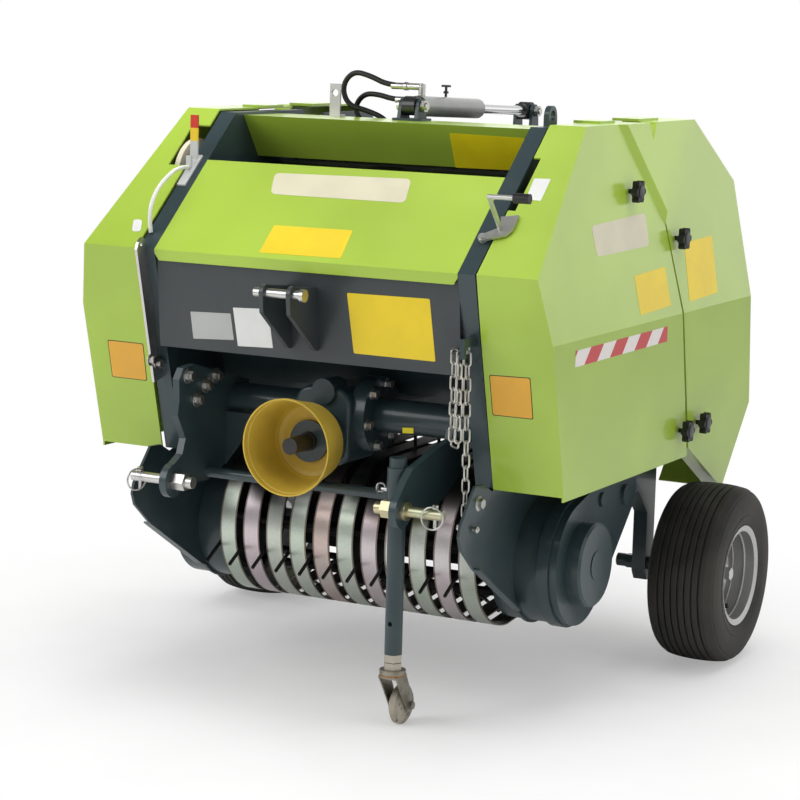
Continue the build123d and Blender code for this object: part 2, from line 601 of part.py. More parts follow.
# Top link ears on the front plate and their pin
front_of_plate = [(-900, PLATE_LOW[1]), (PLATE_LOW[0] - SEAT, PLATE_LOW[1]),
                  (PLATE_TOP[0] - SEAT, PLATE_TOP[1]), (-900, PLATE_TOP[1])]
ears = []
for x in TOP_EAR_X:
    one = yz_prism([(PLATE_LOW[0], TOP_LINK[1] + 5), (TOP_LINK[0] - 3, TOP_LINK[1] + TOP_EAR_R - 0.5),
                    (TOP_LINK[0] - TOP_EAR_R, TOP_LINK[1]), (TOP_LINK[0] - 12, TOP_LINK[1] - 40),
                    (PLATE_LOW[0] - 15, TOP_EAR_LOW), (PLATE_LOW[0], TOP_EAR_LOW)], x, x + TOP_EAR_T)
    one = one + x_rod(TOP_EAR_R, x, x + TOP_EAR_T, *TOP_LINK)
    one = one & yz_prism(front_of_plate, x - 1, x + TOP_EAR_T + 1)
    ears.append(one - x_rod(TOP_LINK_R + SEAT, -99, 99, *TOP_LINK))
parts["top_link_ears"] = Compound(ears)
parts["top_link_pin"] = x_rod(TOP_LINK_R, -58, 50, *TOP_LINK) + x_rod(13, 49, 58, *TOP_LINK)

# Gearbox with its flange, drive tubes, shaft and shield
gear = box(-GEAR_HALF, GEAR_HALF, GEAR_FRONT_Y, GEAR_BACK_Y, PTO_Z - 58, TUBE_Z + 62)
gear = fillet(gear.edges().filter_by(Axis.Y), GEAR_ROUND)
gear = fillet(gear.faces().sort_by(Axis.Y)[0].edges(), GEAR_NOSE_ROUND)
gear = gear + y_rod(NECK_R, SHIELD_BACK_Y + SEAT, GEAR_FRONT_Y + 5, 0, PTO_Z)
gear = gear + y_rod(NOSE_R, NOSE_Y, GEAR_FRONT_Y, 0, PTO_Z)
gear = gear + y_rod(27, GEAR_FRONT_Y - 8, GEAR_FRONT_Y + 50, 6, 660)
gear = gear + x_rod(FLANGE_R, GEAR_HALF - 10, FLANGE_X + FLANGE_T, TUBE_Y, TUBE_Z)
for k in range(6):
    a = radians(60 * k + 12)
    gear = gear + hex_x(15, FLANGE_X + FLANGE_T - 1, FLANGE_X + FLANGE_T + 9,
                        TUBE_Y + FLANGE_BOLT_R * cos(a), TUBE_Z + FLANGE_BOLT_R * sin(a))
parts["gearbox"] = gear - y_rod(PTO_ROOT_R + SEAT, NOSE_Y - 5, GEAR_FRONT_Y + 60, 0, PTO_Z)
parts["drive_tubes"] = Compound([x_rod(TUBE_R, FLANGE_X + FLANGE_T + SEAT, inside, TUBE_Y, TUBE_Z),
                                 x_rod(TUBE_R, -GEAR_HALF - SEAT, -inside, TUBE_Y, TUBE_Z)])
shaft = y_rod(PTO_R, PTO_TIP_Y, PTO_ROOT_Y + 1, 0, PTO_Z)
parts["pto_shaft"] = shaft + y_rod(PTO_ROOT_R, PTO_ROOT_Y, GEAR_FRONT_Y + 55, 0, PTO_Z)
outer = [(SHIELD_BACK_Y, SHIELD_BACK_R - 14), (SHIELD_BACK_Y - 3, SHIELD_BACK_R - 5),
         (SHIELD_BACK_Y - 11, SHIELD_BACK_R),
         (SHIELD_FRONT_Y + 14, SHIELD_R - 3), (SHIELD_FRONT_Y + 12, SHIELD_R - 1),
         (SHIELD_FRONT_Y, SHIELD_R)]
inner = [(y - (SHIELD_T if i < 3 else 0), r - SHIELD_T) for i, (y, r) in enumerate(outer)]
ring = [(SHIELD_BACK_Y, NOSE_R + SEAT)] + outer + inner[::-1] + [(SHIELD_BACK_Y - SHIELD_T, NOSE_R + SEAT)]
shield = revolve(make_face(Polyline(*[(r, y, 0) for y, r in ring], close=True)), Axis.Y)
parts["pto_shield"] = Pos(0, 0, PTO_Z) * shield

# Linkage arms, pins and the bar between them
low_edge = [(-510, 503), (-600, 458), (CROSSBAR[0], CROSSBAR[1] - 19), (ARM_EYE[0] + 50, ARM_EYE[1] - 14),
            (ARM_EYE[0] + 10, ARM_EYE[1] - 32)]
ARMS = {
    "left": [(ARM_EYE[0] - 26, ARM_EYE[1] + 24), (-744, 516), (-732, 548), (-764, 600), (-758, 632),
             (-760, 676), (-744, 698), (-700, 702), (-560, 664), (-480, 644), (-470, 590)],
    "right": [(ARM_EYE[0] - 26, ARM_EYE[1] + 24), (-763, 523), (-734, 544), (-700, 551), (-614, 571),
              (-566, 578), (-548, 640), (-500, 652), (-472, 630)]}
for side, s in both_sides:
    arm_out = ARM_IN + ARM_T
    arm = yz_prism(ARMS[side] + low_edge, ARM_IN, arm_out) + x_rod(ARM_EYE_R, ARM_IN, arm_out, *ARM_EYE)
    if s < 0:
        arm = arm + xz_prism([(ARM_IN + 1, 470), (ARM_IN + 1, 585), (ARM_IN - 84, 585)], -572, -566)
    arm = arm - x_rod(TUBE_R + SEAT, 0, 400, TUBE_Y, TUBE_Z)
    arm = arm - x_rod(HITCH_ROOT_R + SEAT, 200, 300, *ARM_EYE)
    parts["hitch_arm_" + side] = on_side(arm - x_rod(CROSSBAR_R + SEAT, 200, ARM_IN + 6, *CROSSBAR), s)
    collar = arm_out + 10
    pin = x_rod(HITCH_ROOT_R, HITCH_PIN_END, collar, *ARM_EYE) + hex_x(34, 232, ARM_IN - SEAT, *ARM_EYE)
    pin = pin + x_rod(19, arm_out + SEAT, collar, *ARM_EYE)
    pin = pin + x_rod(HITCH_PIN_R[side], collar - 1, HITCH_PIN_TIP, *ARM_EYE)
    parts["hitch_pin_" + side] = on_side(pin, s)
parts["hitch_crossbar"] = x_rod(CROSSBAR_R, -ARM_IN - 5, ARM_IN + 5, *CROSSBAR)

# Jack: sleeve on the right arm, sliding leg, swivelling castor
jack_x = ARM_IN - JACK_R - SLEEVE_T - 2 * SEAT
sleeve = z_rod(JACK_R + SEAT + SLEEVE_T, *SLEEVE_Z, jack_x, JACK_Y)
sleeve = sleeve - z_rod(JACK_R + SEAT, 400, 600, jack_x, JACK_Y)
lock = x_rod(4, jack_x - JACK_R - 24, jack_x - JACK_R - SEAT, JACK_Y, LOCK_Z)
parts["jack_sleeve"] = sleeve + lock + x_rod(10, jack_x - JACK_R - 27, jack_x - JACK_R - 21, JACK_Y, LOCK_Z)
leg = z_rod(JACK_R, JACK_FOOT_Z, JACK_TOP_Z, jack_x, JACK_Y)
leg = leg - y_rod(JACK_HOLE_R, JACK_Y - JACK_R - 1, JACK_Y + JACK_R + 1, jack_x, JACK_HOLE_Z)
leg = leg - z_rod(JACK_R - JACK_WALL, JACK_TOP_Z - 12, JACK_TOP_Z + 1, jack_x, JACK_Y)
nut = extrude(RegularPolygon(17, 6, major_radius=False), JACK_FOOT_Z - FORK_TOP + 1)
nut = Pos(jack_x, JACK_Y, FORK_TOP) * nut
parts["jack_leg"] = leg + nut
axle_y = JACK_Y + CASTER_TRAIL
cheek = CASTER_W / 2 + FORK_T
fork = z_rod(27, FORK_TOP - 12, FORK_TOP - SEAT, jack_x, JACK_Y)
fork = fork + Pos(jack_x, JACK_Y, FORK_TOP - 14) * Box(2 * (cheek + FORK_T), 44, 6)
fork_side = [(JACK_Y - 22, FORK_TOP - 14), (JACK_Y + 22, FORK_TOP - 14), (axle_y + 13, CASTER_R + 6),
             (axle_y + 9, CASTER_R - 12), (axle_y - 11, CASTER_R - 12)]
for x in (jack_x + cheek, jack_x - cheek - FORK_T):
    fork = fork + yz_prism(fork_side, x, x + FORK_T)
fork = fork + x_rod(5, jack_x - cheek - 9, jack_x + cheek + 9, axle_y, CASTER_R)
parts["caster_fork"] = fork + hex_x(15, jack_x + cheek + 2, jack_x + cheek + 10, axle_y, CASTER_R)
half = CASTER_W / 2
wheel = turned([(-half, 5 + SEAT), (-half, 20), (3 - half, CASTER_R - 8), (-6, CASTER_R), (6, CASTER_R),
                (half - 3, CASTER_R - 8), (half, 20), (half, 5 + SEAT)])
parts["caster_wheel"] = Pos(jack_x, axle_y, CASTER_R) * wheel

# Pickup side plates with a folded edge, stub tubes to the walls and room for the drums
side_plate = [(-250, 450), (-420, 500), (-560, 500), (-600, 488), (-640, 509), (-678, 511), (-740, 440), (-746, 418), (-736, 392),
              *SIDE_EDGE, (-330, 170), (-150, 163), (-113, 186), (-110, 330)]
STUBS = ((-420.0, 485.0), (-250.0, 445.0))
for side, s in both_sides:
    plate = yz_prism(side_plate, SIDE_X, SIDE_X + SIDE_T)
    plate = plate + x_rod(DRUM_R + DRUM_RIM, SIDE_X, SIDE_X + SIDE_T, REEL_Y, REEL_Z)
    plate = plate + yz_prism(strip(SIDE_EDGE, -4), SIDE_X, SIDE_X + SIDE_T + SIDE_FOLD)
    if s > 0:
        plate = plate + x_rod(16, SIDE_X, SIDE_X + SIDE_T, taut_end.Y, taut_end.Z)
        plate = plate + x_rod(HOOK_R, taut_end.X - 8, SIDE_X + 1, taut_end.Y, taut_end.Z)
    plate = plate - x_rod(DRUM_R + SEAT, SIDE_X - 1, SIDE_X + SIDE_T + 30, REEL_Y, REEL_Z)
    for y, z in STUBS:
        plate = plate + x_rod(14, WALL_IN + WALL_T + SEAT, SIDE_X + 2, y, z)
    parts["pickup_side_" + side] = on_side(plate, s)

# Drums at the ends of the reel
shaft_end = DRUM_RIGHT_IN + (CASE_X - DRUM_RIGHT_IN) * SHAFT_SHARE
bore = x_rod(SHAFT_R + SEAT, DRUM_LEFT[0] + 40, shaft_end + 52, REEL_Y, REEL_Z)
drum_left = x_rod(DRUM_R, *DRUM_LEFT, REEL_Y, REEL_Z) - bore
drum_right = x_rod(DRUM_R, DRUM_RIGHT_IN, CASE_X - SEAT, REEL_Y, REEL_Z)
rim_in = CASE_X - (CASE_X - DRUM_RIGHT_IN) * RIM_SHARE
drum_right = drum_right + x_rod(DRUM_R + DRUM_RIM, rim_in, CASE_X - SEAT, REEL_Y, REEL_Z)
parts["pickup_drums"] = Compound([drum_left, drum_right - bore])

# Stripper bands: arcs round the reel, with tails to the cross bars
bands = []
for k in range(BAND_COUNT):
    x0 = BAND_FIRST + k * BAND_PITCH
    loops = []
    for t in (0, BAND_T):
        r = BAND_R - t
        top, front, low = (BAND_Y, BAND_Z + r), (BAND_Y - r, BAND_Z), (BAND_Y, BAND_Z - r)
        upper = Line((BAND_TOP_END[0], BAND_TOP_END[1] - t), top)
        lower = Line(low, (BAND_LOW_END[0], BAND_LOW_END[1] + t))
        loops.append([upper, ThreePointArc(top, front, low), lower])
    (outer_top, _, outer_low), (inner_top, _, inner_low) = loops
    ends = [Line(outer_top @ 0, inner_top @ 0), Line(outer_low @ 1, inner_low @ 1)]
    face = Plane.YZ.offset(x0) * make_face(loops[0] + loops[1] + ends)
    bands.append(extrude(face, BAND_W, dir=(1, 0, 0)))
parts["pickup_bands"] = Compound(bands)
top_bar_z = BAND_TOP_END[1] - BAND_T - SEAT - 8.5
low_bar_z = BAND_LOW_END[1] + BAND_T + SEAT + 7
parts["pickup_crosspieces"] = Compound([x_rod(8, -inside, inside, BAND_TOP_END[0] - 7, top_bar_z),
                                      x_rod(8, SEAT - SIDE_X, SIDE_X - SEAT, BAND_LOW_END[0] - 9,
                                            low_bar_z),
                                      yz_prism(strip(BACK_LINE, PANEL_T), -inside, inside)])

# Reel: shaft, discs and rows of tines that pass between the bands
base_along = sqrt(TINE_BASE_R ** 2 - TINE_LEAN ** 2)
tip_along = sqrt(TINE_TIP_R ** 2 - TINE_LEAN ** 2)
first_tine = BAND_FIRST - (BAND_PITCH - BAND_W) / 2
reel_end = DRUM_RIGHT_IN - 12
reel = x_rod(SHAFT_R, 1 - SIDE_X, shaft_end, 0, 0)
for x in (first_tine - 7, -26, reel_end - 4):
    reel = reel + x_rod(TINE_BASE_R + 12, x, x + 4, 0, 0)
rows = []
tip_angle = degrees(atan2(tip_along, TINE_LEAN))
for row in range(TINE_ROWS):
    to_row = Rot(TINE_PHASE + row * 360 / TINE_ROWS - tip_angle, 0, 0)
    rows.append(to_row * x_rod(TINE_BAR_R, first_tine - 7, reel_end, TINE_LEAN, base_along))
    for k in range(BAND_COUNT):
        x = first_tine + k * BAND_PITCH
        rows.append(to_row * box(x - TINE_W / 2, x + TINE_W / 2, TINE_LEAN - TINE_W / 2, TINE_LEAN
                                 + TINE_W / 2,
                                 base_along, tip_along))
parts["pickup_reel"] = Pos(0, REEL_Y, REEL_Z) * (reel + rows)

# Drive case on the right, with its cap and the tube that carries it
gap_y, gap_z = CASE_TOP[0] - REEL_Y, CASE_TOP[1] - REEL_Z
turn = atan2(sqrt(hypot(gap_y, gap_z) ** 2 - (DRUM_R - CASE_TOP_R) ** 2), DRUM_R - CASE_TOP_R)
belt = []
for cy, cz, r, s in ((REEL_Y, REEL_Z, DRUM_R, 1), (*CASE_TOP, CASE_TOP_R, 1), (*CASE_TOP, CASE_TOP_R, -1),
                     (REEL_Y, REEL_Z, DRUM_R, -1)):
    a = atan2(gap_z, gap_y) + s * turn
    belt.append((cy + r * cos(a), cz + r * sin(a)))
case_out = CASE_X + CASE_T
case = yz_prism(belt, CASE_X, case_out) + x_rod(DRUM_R, CASE_X, case_out, REEL_Y, REEL_Z)
case = case + x_rod(CASE_TOP_R, CASE_X, case_out, *CASE_TOP)
cap = x_rod(CAP_R, case_out - 1, CAP_OUT, REEL_Y, REEL_Z)
case = case + chamfer(cap.edges().group_by(Axis.X)[-1], 5)
case = case + x_rod(CAP_BOSS_R, CAP_OUT - 1, CAP_OUT + 2, REEL_Y, REEL_Z)
case = case + x_rod(16, case_out - 1, case_out + 6, *CASE_PLUG) + x_rod(22, case_out - 1, case_out + 8, *PIVOT_TUBE)
parts["pickup_drive_case"] = case + x_rod(25, WALL_IN + WALL_T + SEAT, CASE_X + 1, *PIVOT_TUBE)

# Wheel legs with their spindles, rims and tyres
toe_y, toe_z = REAR_TOE[0] - REAR_HEEL[0], REAR_HEEL[1] - REAR_TOE[1]
tyre_room = (REAR_HEEL[1] - TYRE_R) * toe_y - (TYRE_R + TYRE_CLEAR) * hypot(toe_y, toe_z)
wheel_y = REAR_HEEL[0] + tyre_room / toe_z
half_track = LEG_X + LEG_W + WHEEL_GAP + TYRE_W / 2
leg_out = LEG_X + LEG_W
w = RIM_W / 2
h = HUB_FACE
rim = turned([(w, RIM_FLANGE_R), (w - 3, RIM_FLANGE_R), (w - 7, RIM_R + 3), (7 - w, RIM_R + 3),
              (3 - w, RIM_FLANGE_R),
              (-w, RIM_FLANGE_R), (4 - w, RIM_R), (h - 62, RIM_R), (h - 36, 84), (h - 24, 62),
              (h - 24, HUB_R),
              (-52, HUB_R), (-52, SPINDLE_R + SEAT), (h - 11, SPINDLE_R + SEAT), (h - 11, 0), (h, 0),
              (h, 20),
              (h - 5, 26), (h - 18, 26), (h - 18, 64), (h - 32, 86), (h - 52, RIM_R), (w - 4, RIM_R)])
t = TYRE_W / 2
half_tyre = [(w - 7.6, RIM_R + 3 + SEAT), (w - 3.6, RIM_FLANGE_R + SEAT), (w, RIM_FLANGE_R + 3),
             (t - 2, 135), (t, 158),
             (t - 4, 182), (t - 16, 198), (24, TYRE_R)]
tyre = turned(half_tyre + [(-x, r) for x, r in half_tyre[::-1]])
to_wheel = Pos(half_track, wheel_y, TYRE_R)
leg_back, leg_front, leg_low = wheel_y + LEG_DEEP / 2, wheel_y - LEG_DEEP / 2, LEG_TOP - LEG_DEEP
leg_shape = [(LEG_FRONT_Y, LEG_TOP), (leg_back, LEG_TOP), (leg_back, TYRE_R - 16),
             (leg_back - LEG_FOOT, TYRE_R - 38),
             (leg_front + LEG_FOOT, TYRE_R - 38), (leg_front, TYRE_R - 16),
             (leg_front, leg_low - LEG_BRACE),
             (leg_front - LEG_BRACE, leg_low), (LEG_FRONT_Y, leg_low)]
leg = yz_prism(leg_shape, LEG_X, leg_out)
leg = leg + box(WALL_IN + WALL_T + SEAT, LEG_X + 1, LEG_FRONT_Y, 55, leg_low, LEG_TOP)
leg = leg + x_rod(SPINDLE_R, LEG_X - 43, half_track + HUB_FACE - 12, wheel_y, TYRE_R)
leg = leg + hex_x(30, LEG_X - 20, LEG_X + 1, wheel_y, TYRE_R)
for side, s in both_sides:
    parts["wheel_leg_" + side] = on_side(leg, s)
    parts["rim_" + side] = on_side(to_wheel * rim, s)
    parts["tyre_" + side] = on_side(to_wheel * tyre, s)

# Lift chain: one taut strand down to the pickup and a loose loop beside it
cut_l, cut_w = LINK_L / 2 - LINK_WIRE, LINK_W / 2 - LINK_WIRE


def octagon(long, wide, c):
    return [(wide, long - c), (wide - c, long), (c - wide, long), (-wide, long - c), (-wide, c - long),
            (c - wide, -long),
            (wide - c, -long), (wide, c - long)]


ring_out = make_face(Polyline(*octagon(LINK_L / 2, LINK_W / 2, 5), close=True))
ring_in = make_face(Polyline(*octagon(cut_l, cut_w, 3), close=True))
link = Pos(0, 0, -LINK_WIRE / 2) * extrude(ring_out - ring_in, LINK_WIRE)


def place_link(centre, along, across):
    """A link with its length on along and its flat side facing across."""
    along, across = Vector(*along).normalized(), Vector(*across).normalized()
    plane = Plane(origin=centre, x_dir=along.cross(across), z_dir=across)
    return plane * link


links = []
side_way = Vector(1, 0, 0) - taut * taut.X
for k in range(TAUT_LINKS):
    centre = Vector(*TAUT_TOP) + taut * (k * link_pitch)
    links.append(place_link(centre, taut, side_way if k % 2 == 0 else side_way.cross(taut)))
step = Vector(LOOSE_B[0] - LOOSE_A[0], LOOSE_B[1] - LOOSE_A[1], 0).normalized()
down = Vector(0, 0, -1)
for x, y in (LOOSE_A, LOOSE_B):
    for k in range(LOOSE_LINKS):
        centre = Vector(x, y, CHAIN_TOP_Z - LOOSE_DROP - k * link_pitch)
        links.append(place_link(centre, down, step if k % 2 == 0 else step.cross(down)))
loop_z = CHAIN_TOP_Z - LOOSE_DROP - (LOOSE_LINKS - 1) * link_pitch - LINK_L / 2 + LINK_WIRE + SEAT - cut_w
middle = Vector((LOOSE_A[0] + LOOSE_B[0]) / 2, (LOOSE_A[1] + LOOSE_B[1]) / 2, loop_z)
links.append(place_link(middle, step, step.cross(down)))
parts["lift_chain"] = Compound(links)

# Crank for the pickup height, on the right rail
slope_up = Plane(origin=(0, *RAIL_KNEE), x_dir=(1, 0, 0), z_dir=(0, -slope_z, slope_y))
bolt_x, bolt_s = CRANK_BOLT
rod_x, rod_s = CRANK_ROD
flat = make_face(Polyline((bolt_x, bolt_s - 10), (424, 103), (432, 120), (431, 160), (394, 152), (404, 124),
                          (bolt_x, bolt_s + 10), close=True)) + Pos(bolt_x, bolt_s) * Circle(10)
crank = slope_up * (Pos(0, 0, 6) * extrude(flat, 5))
crank = crank + rod((bolt_x, *on_slope(bolt_s, SEAT)), (bolt_x, *on_slope(bolt_s, 14 + SEAT)), 8)
crank_y, crank_z = on_slope(rod_s, CRANK_REACH + 10)
crank = crank + rod((rod_x, *on_slope(rod_s, 8)), (rod_x, crank_y, crank_z), 5)
crank = crank + Pos(rod_x, crank_y, crank_z) * Sphere(5)
crank = crank + x_rod(5, rod_x, CRANK_GRIP[1] - 4, crank_y, crank_z)
parts["crank_handle"] = crank + x_rod(10, *CRANK_GRIP, crank_y, crank_z)

# Bale-size indicator and twine post on the left rail, the twine disc and the twine lever
indicator = slope_box(-391, -371, slope_at(-576), slope_at(-506), SEAT, 4)
indicator = indicator + box(*INDICATOR_X, INDICATOR_Y - 3, INDICATOR_Y + 1, 1117, INDICATOR_TOP)
post_y, post_z = TWINE_TUBE[-1][0] + SEAT, TWINE_TUBE[-1][1]
parts["fill_indicator"] = indicator + box(-391, -379, post_y, post_y + 7, post_z - 4.5, post_z + 24)
disc = x_rod(DISC_R, DISC_X, DISC_X - 12, *DISC) - x_rod(DISC_R - 10, DISC_X - 9, DISC_X - 13, *DISC)
parts["twine_disc"] = disc + x_rod(9, -WALL_IN - WALL_T - SEAT, DISC_X - 1, *DISC)
rail_lean = (RAIL_KNEE[0] - RAIL_FOOT[0]) / (RAIL_KNEE[1] - RAIL_FOOT[1])
foot = RAIL_FOOT[0] + (LEVER_FOOT_Z - RAIL_FOOT[1]) * rail_lean
eye_y, eye_z = RAIL_KNEE[0] - LEVER_EYE[0], RAIL_KNEE[1] + LEVER_EYE[1]
lever = [(foot - SEAT - 0.1, LEVER_FOOT_Z), (RAIL_KNEE[0] - SEAT - 0.1, RAIL_KNEE[1]),
         (eye_y + 18, eye_z + 10), (eye_y + 4, eye_z + 15), (eye_y - 10, eye_z + 6), (eye_y - 16, eye_z - 9),
         (foot - LEVER_W, LEVER_FOOT_Z - 7)]
parts["twine_lever"] = yz_prism(lever, *LEVER_X) - x_rod(4, -400, -370, eye_y, eye_z)

# Lifting eye and the holed upright, both on the beam
ey, ez = EYE_PLATE
eye = box(inside - 12, inside, ey - EYE_PLATE_R - 1, ey + EYE_PLATE_R + 1, BEAM_FRONT[1] + SEAT, ez)
eye = eye + x_rod(EYE_PLATE_R, inside - 12, inside, ey, ez)
parts["lifting_eye"] = eye - x_rod(EYE_BORE_R, 300, 400, ey, ez)
strip_plate = box(-203, -177, -252, -247, BEAM_FRONT[1] + SEAT, 1284) - y_rod(8, -260, -240, -190, 1264)
parts["holed_upright"] = strip_plate + box(-203, -177, -252, -225, BEAM_FRONT[1] + SEAT, BEAM_FRONT[1] + 5)

# Hoses: straight runs joined by arcs, each arc as large as its two runs allow
block = box(-122, -50, -238, -150, BEAM_BACK[1] + 7, HOSE_BLOCK_Z)
parts["hose_block"] = block


def hose(name, points, r):
    points = [Vector(*p) for p in points]
    radii = []
    for a, b, c in zip(points, points[1:], points[2:]):
        half_turn = radians((b - a).get_angle(c - b)) / 2
        radii.append(0.45 * min((b - a).length, (c - b).length) / tan(half_turn))
    print(name, "radii", [round(v, 1) for v in radii])
    path = FilletPolyline(*points, radius=radii)
    return sweep(Plane(origin=points[0], z_dir=points[1] - points[0]) * Circle(r), path)


starts = []
for along, up in PORTS:
    spot = to_cylinder * Pos(PORT_X - SEAT, along, up)
    starts.append(tuple(spot.position))
for name, start, route in (("hose_long", starts[0], HOSE_LONG), ("hose_short", starts[1], HOSE_SHORT)):
    x, y, z = route[-1]
    parts[name] = hose(name, [start, *route, (x, y, HOSE_BLOCK_Z + SEAT)], HOSE_R)
parts["twine_tube"] = hose("twine_tube", [(-385, y, z) for y, z in TWINE_TUBE], TUBE_R_WHITE)

os.makedirs("parts", exist_ok=True)
for name, shape in parts.items():
    export_step(Pos(0, FRAME_Y, 0) * shape, f"parts/{name}.step")
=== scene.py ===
import bpy
import math
from mathutils import Matrix, Vector


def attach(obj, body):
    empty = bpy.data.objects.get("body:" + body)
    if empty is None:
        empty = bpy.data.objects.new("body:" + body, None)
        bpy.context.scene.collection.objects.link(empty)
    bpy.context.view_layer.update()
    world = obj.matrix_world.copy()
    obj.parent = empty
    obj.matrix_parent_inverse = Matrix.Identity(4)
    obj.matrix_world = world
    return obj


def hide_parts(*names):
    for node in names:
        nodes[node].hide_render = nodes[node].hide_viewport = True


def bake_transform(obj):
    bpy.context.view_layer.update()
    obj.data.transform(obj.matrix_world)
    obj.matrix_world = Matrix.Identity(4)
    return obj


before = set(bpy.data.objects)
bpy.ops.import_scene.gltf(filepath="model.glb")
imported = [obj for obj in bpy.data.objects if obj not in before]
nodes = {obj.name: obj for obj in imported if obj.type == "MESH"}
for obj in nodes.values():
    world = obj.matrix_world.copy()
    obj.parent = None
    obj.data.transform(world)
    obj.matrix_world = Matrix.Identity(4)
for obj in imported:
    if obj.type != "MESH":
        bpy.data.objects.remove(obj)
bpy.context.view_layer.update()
print("frame loaded:", len(nodes), "nodes")

seam = 0.173                      # the covers' fold line lies this far behind the row's origin
sides = {"right": 1, "left": -1}
wheel = {"centre": 0.586, "axleY": 0.333, "radius": 0.203}


def clearPick():
    if bpy.context.object and bpy.context.object.mode != "OBJECT":
        bpy.ops.object.mode_set(mode="OBJECT")
    bpy.ops.object.select_all(action="DESELECT")


# camera at the photograph's place
cameraView = {"place": (2.4435, seam - 4.9679, 1.4313), "azimuth": 27.46, "elevation": 8.96, "roll": 1.57,
              "lens": 109.0, "film": 36.0}
frameSide = 800                   # pixels
az = math.radians(cameraView["azimuth"])
el = math.radians(cameraView["elevation"])
roll = math.radians(cameraView["roll"])
ahead = Vector((-math.sin(az) * math.cos(el), math.cos(az) * math.cos(el), -math.sin(el)))
level = Vector((math.cos(az), math.sin(az), 0))
upward = level.cross(ahead)
acrossView = math.cos(roll) * level + math.sin(roll) * upward
upView = math.cos(roll) * upward - math.sin(roll) * level
cameraData = bpy.data.cameras.new("photoCamera")
cameraData.lens = cameraView["lens"]
cameraData.sensor_width = cameraView["film"]
cameraData.clip_end = 100
camera = bpy.data.objects.new("photoCamera", cameraData)
bpy.context.scene.collection.objects.link(camera)
cameraTurn = Matrix((acrossView, upView, -ahead)).transposed().to_4x4()
camera.matrix_world = Matrix.Translation(Vector(cameraView["place"])) @ cameraTurn
bpy.context.scene.camera = camera
print("camera set")


# a socket that takes sums and products like a number
class Wire:
    def __init__(self, finish, socket):
        self.finish = finish
        self.socket = socket

    def maths(self, operation, *values):
        return self.finish.node("ShaderNodeMath", dict(enumerate(values)), operation=operation)

    def __add__(self, other):
        return self.maths("ADD", self, other)

    def __radd__(self, other):
        return self.maths("ADD", other, self)

    def __sub__(self, other):
        return self.maths("SUBTRACT", self, other)

    def __rsub__(self, other):
        return self.maths("SUBTRACT", other, self)

    def __mul__(self, other):
        return self.maths("MULTIPLY", self, other)

    def __rmul__(self, other):
        return self.maths("MULTIPLY", other, self)

    def __truediv__(self, other):
        return self.maths("DIVIDE", self, other)

    def __rtruediv__(self, other):
        return self.maths("DIVIDE", other, self)

    def __gt__(self, other):
        return self.maths("GREATER_THAN", self, other)

    def __lt__(self, other):
        return self.maths("LESS_THAN", self, other)

    def __mod__(self, other):
        return self.maths("FLOORED_MODULO", self, other)

    def absolute(self):
        return self.maths("ABSOLUTE", self)

    def ramp(self, low, high):    # 0 below low, 1 above high, smooth between
        inputs = {0: self, 1: low, 2: high}
        return self.finish.node("ShaderNodeMapRange", inputs, interpolation_type="SMOOTHSTEP")


class Finish:
    def __init__(self, name, **constants):
        self.material = bpy.data.materials.new(name)
        self.material.use_nodes = True
        self.tree = self.material.node_tree
        self.shader = self.tree.nodes["Principled BSDF"]
        for key, value in constants.items():
            self.shader.inputs[key.replace("_", " ")].default_value = value
        self.place = self.node("ShaderNodeTexCoord", output="Object")

    def feed(self, socket, value):
        if isinstance(value, Wire):
            self.tree.links.new(value.socket, socket)
        else:
            socket.default_value = value

    def node(self, kind, inputs=None, output=0, **settings):
        made = self.tree.nodes.new(kind)
        for key, value in settings.items():
            setattr(made, key, value)
        for key, value in (inputs or {}).items():
            self.feed(made.inputs[key], value)
        return Wire(self, made.outputs[output])

    def noise(self, scale, detail=3.0, rough=0.5, vector=None):
        inputs = {"Vector": vector or self.place, "Scale": scale, "Detail": detail, "Roughness": rough}
        return self.node("ShaderNodeTexNoise", inputs)

    def axis(self, name):
        return self.node("ShaderNodeSeparateXYZ", {0: self.place}, output=name)

    def stretched(self, x, y, z):
        return self.node("ShaderNodeMapping", {"Vector": self.place, "Scale": (x, y, z)})

    def blend(self, factor, low, high):
        inputs = {0: factor, 6: low, 7: high}    # the colour pair of a Mix node
        return self.node("ShaderNodeMix", inputs, output=2, data_type="RGBA")

    def bump(self, height, strength, distance):
        inputs = {"Height": height, "Strength": strength, "Distance": distance}
        return self.node("ShaderNodeBump", inputs)

    def done(self, colour=None, roughness=None, normal=None, metallic=None):
        surface = {"Base Color": colour, "Roughness": roughness, "Normal": normal, "Metallic": metallic}
        for key, value in surface.items():
            if value is not None:
                self.feed(self.shader.inputs[key], value)
        return self.material


def tone(*shades):                # a colour as the photograph shows it, 0 to 255
    parts = [min(255, shade) / 255 for shade in shades]
    linear = [v / 12.92 if v <= 0.04045 else ((v + 0.055) / 1.055) ** 2.4 for v in parts]
    return (*linear, 1.0)


def shaded(colour, share):        # the same colour, darker below 1 and lighter above
    return tone(*[v * share for v in colour])


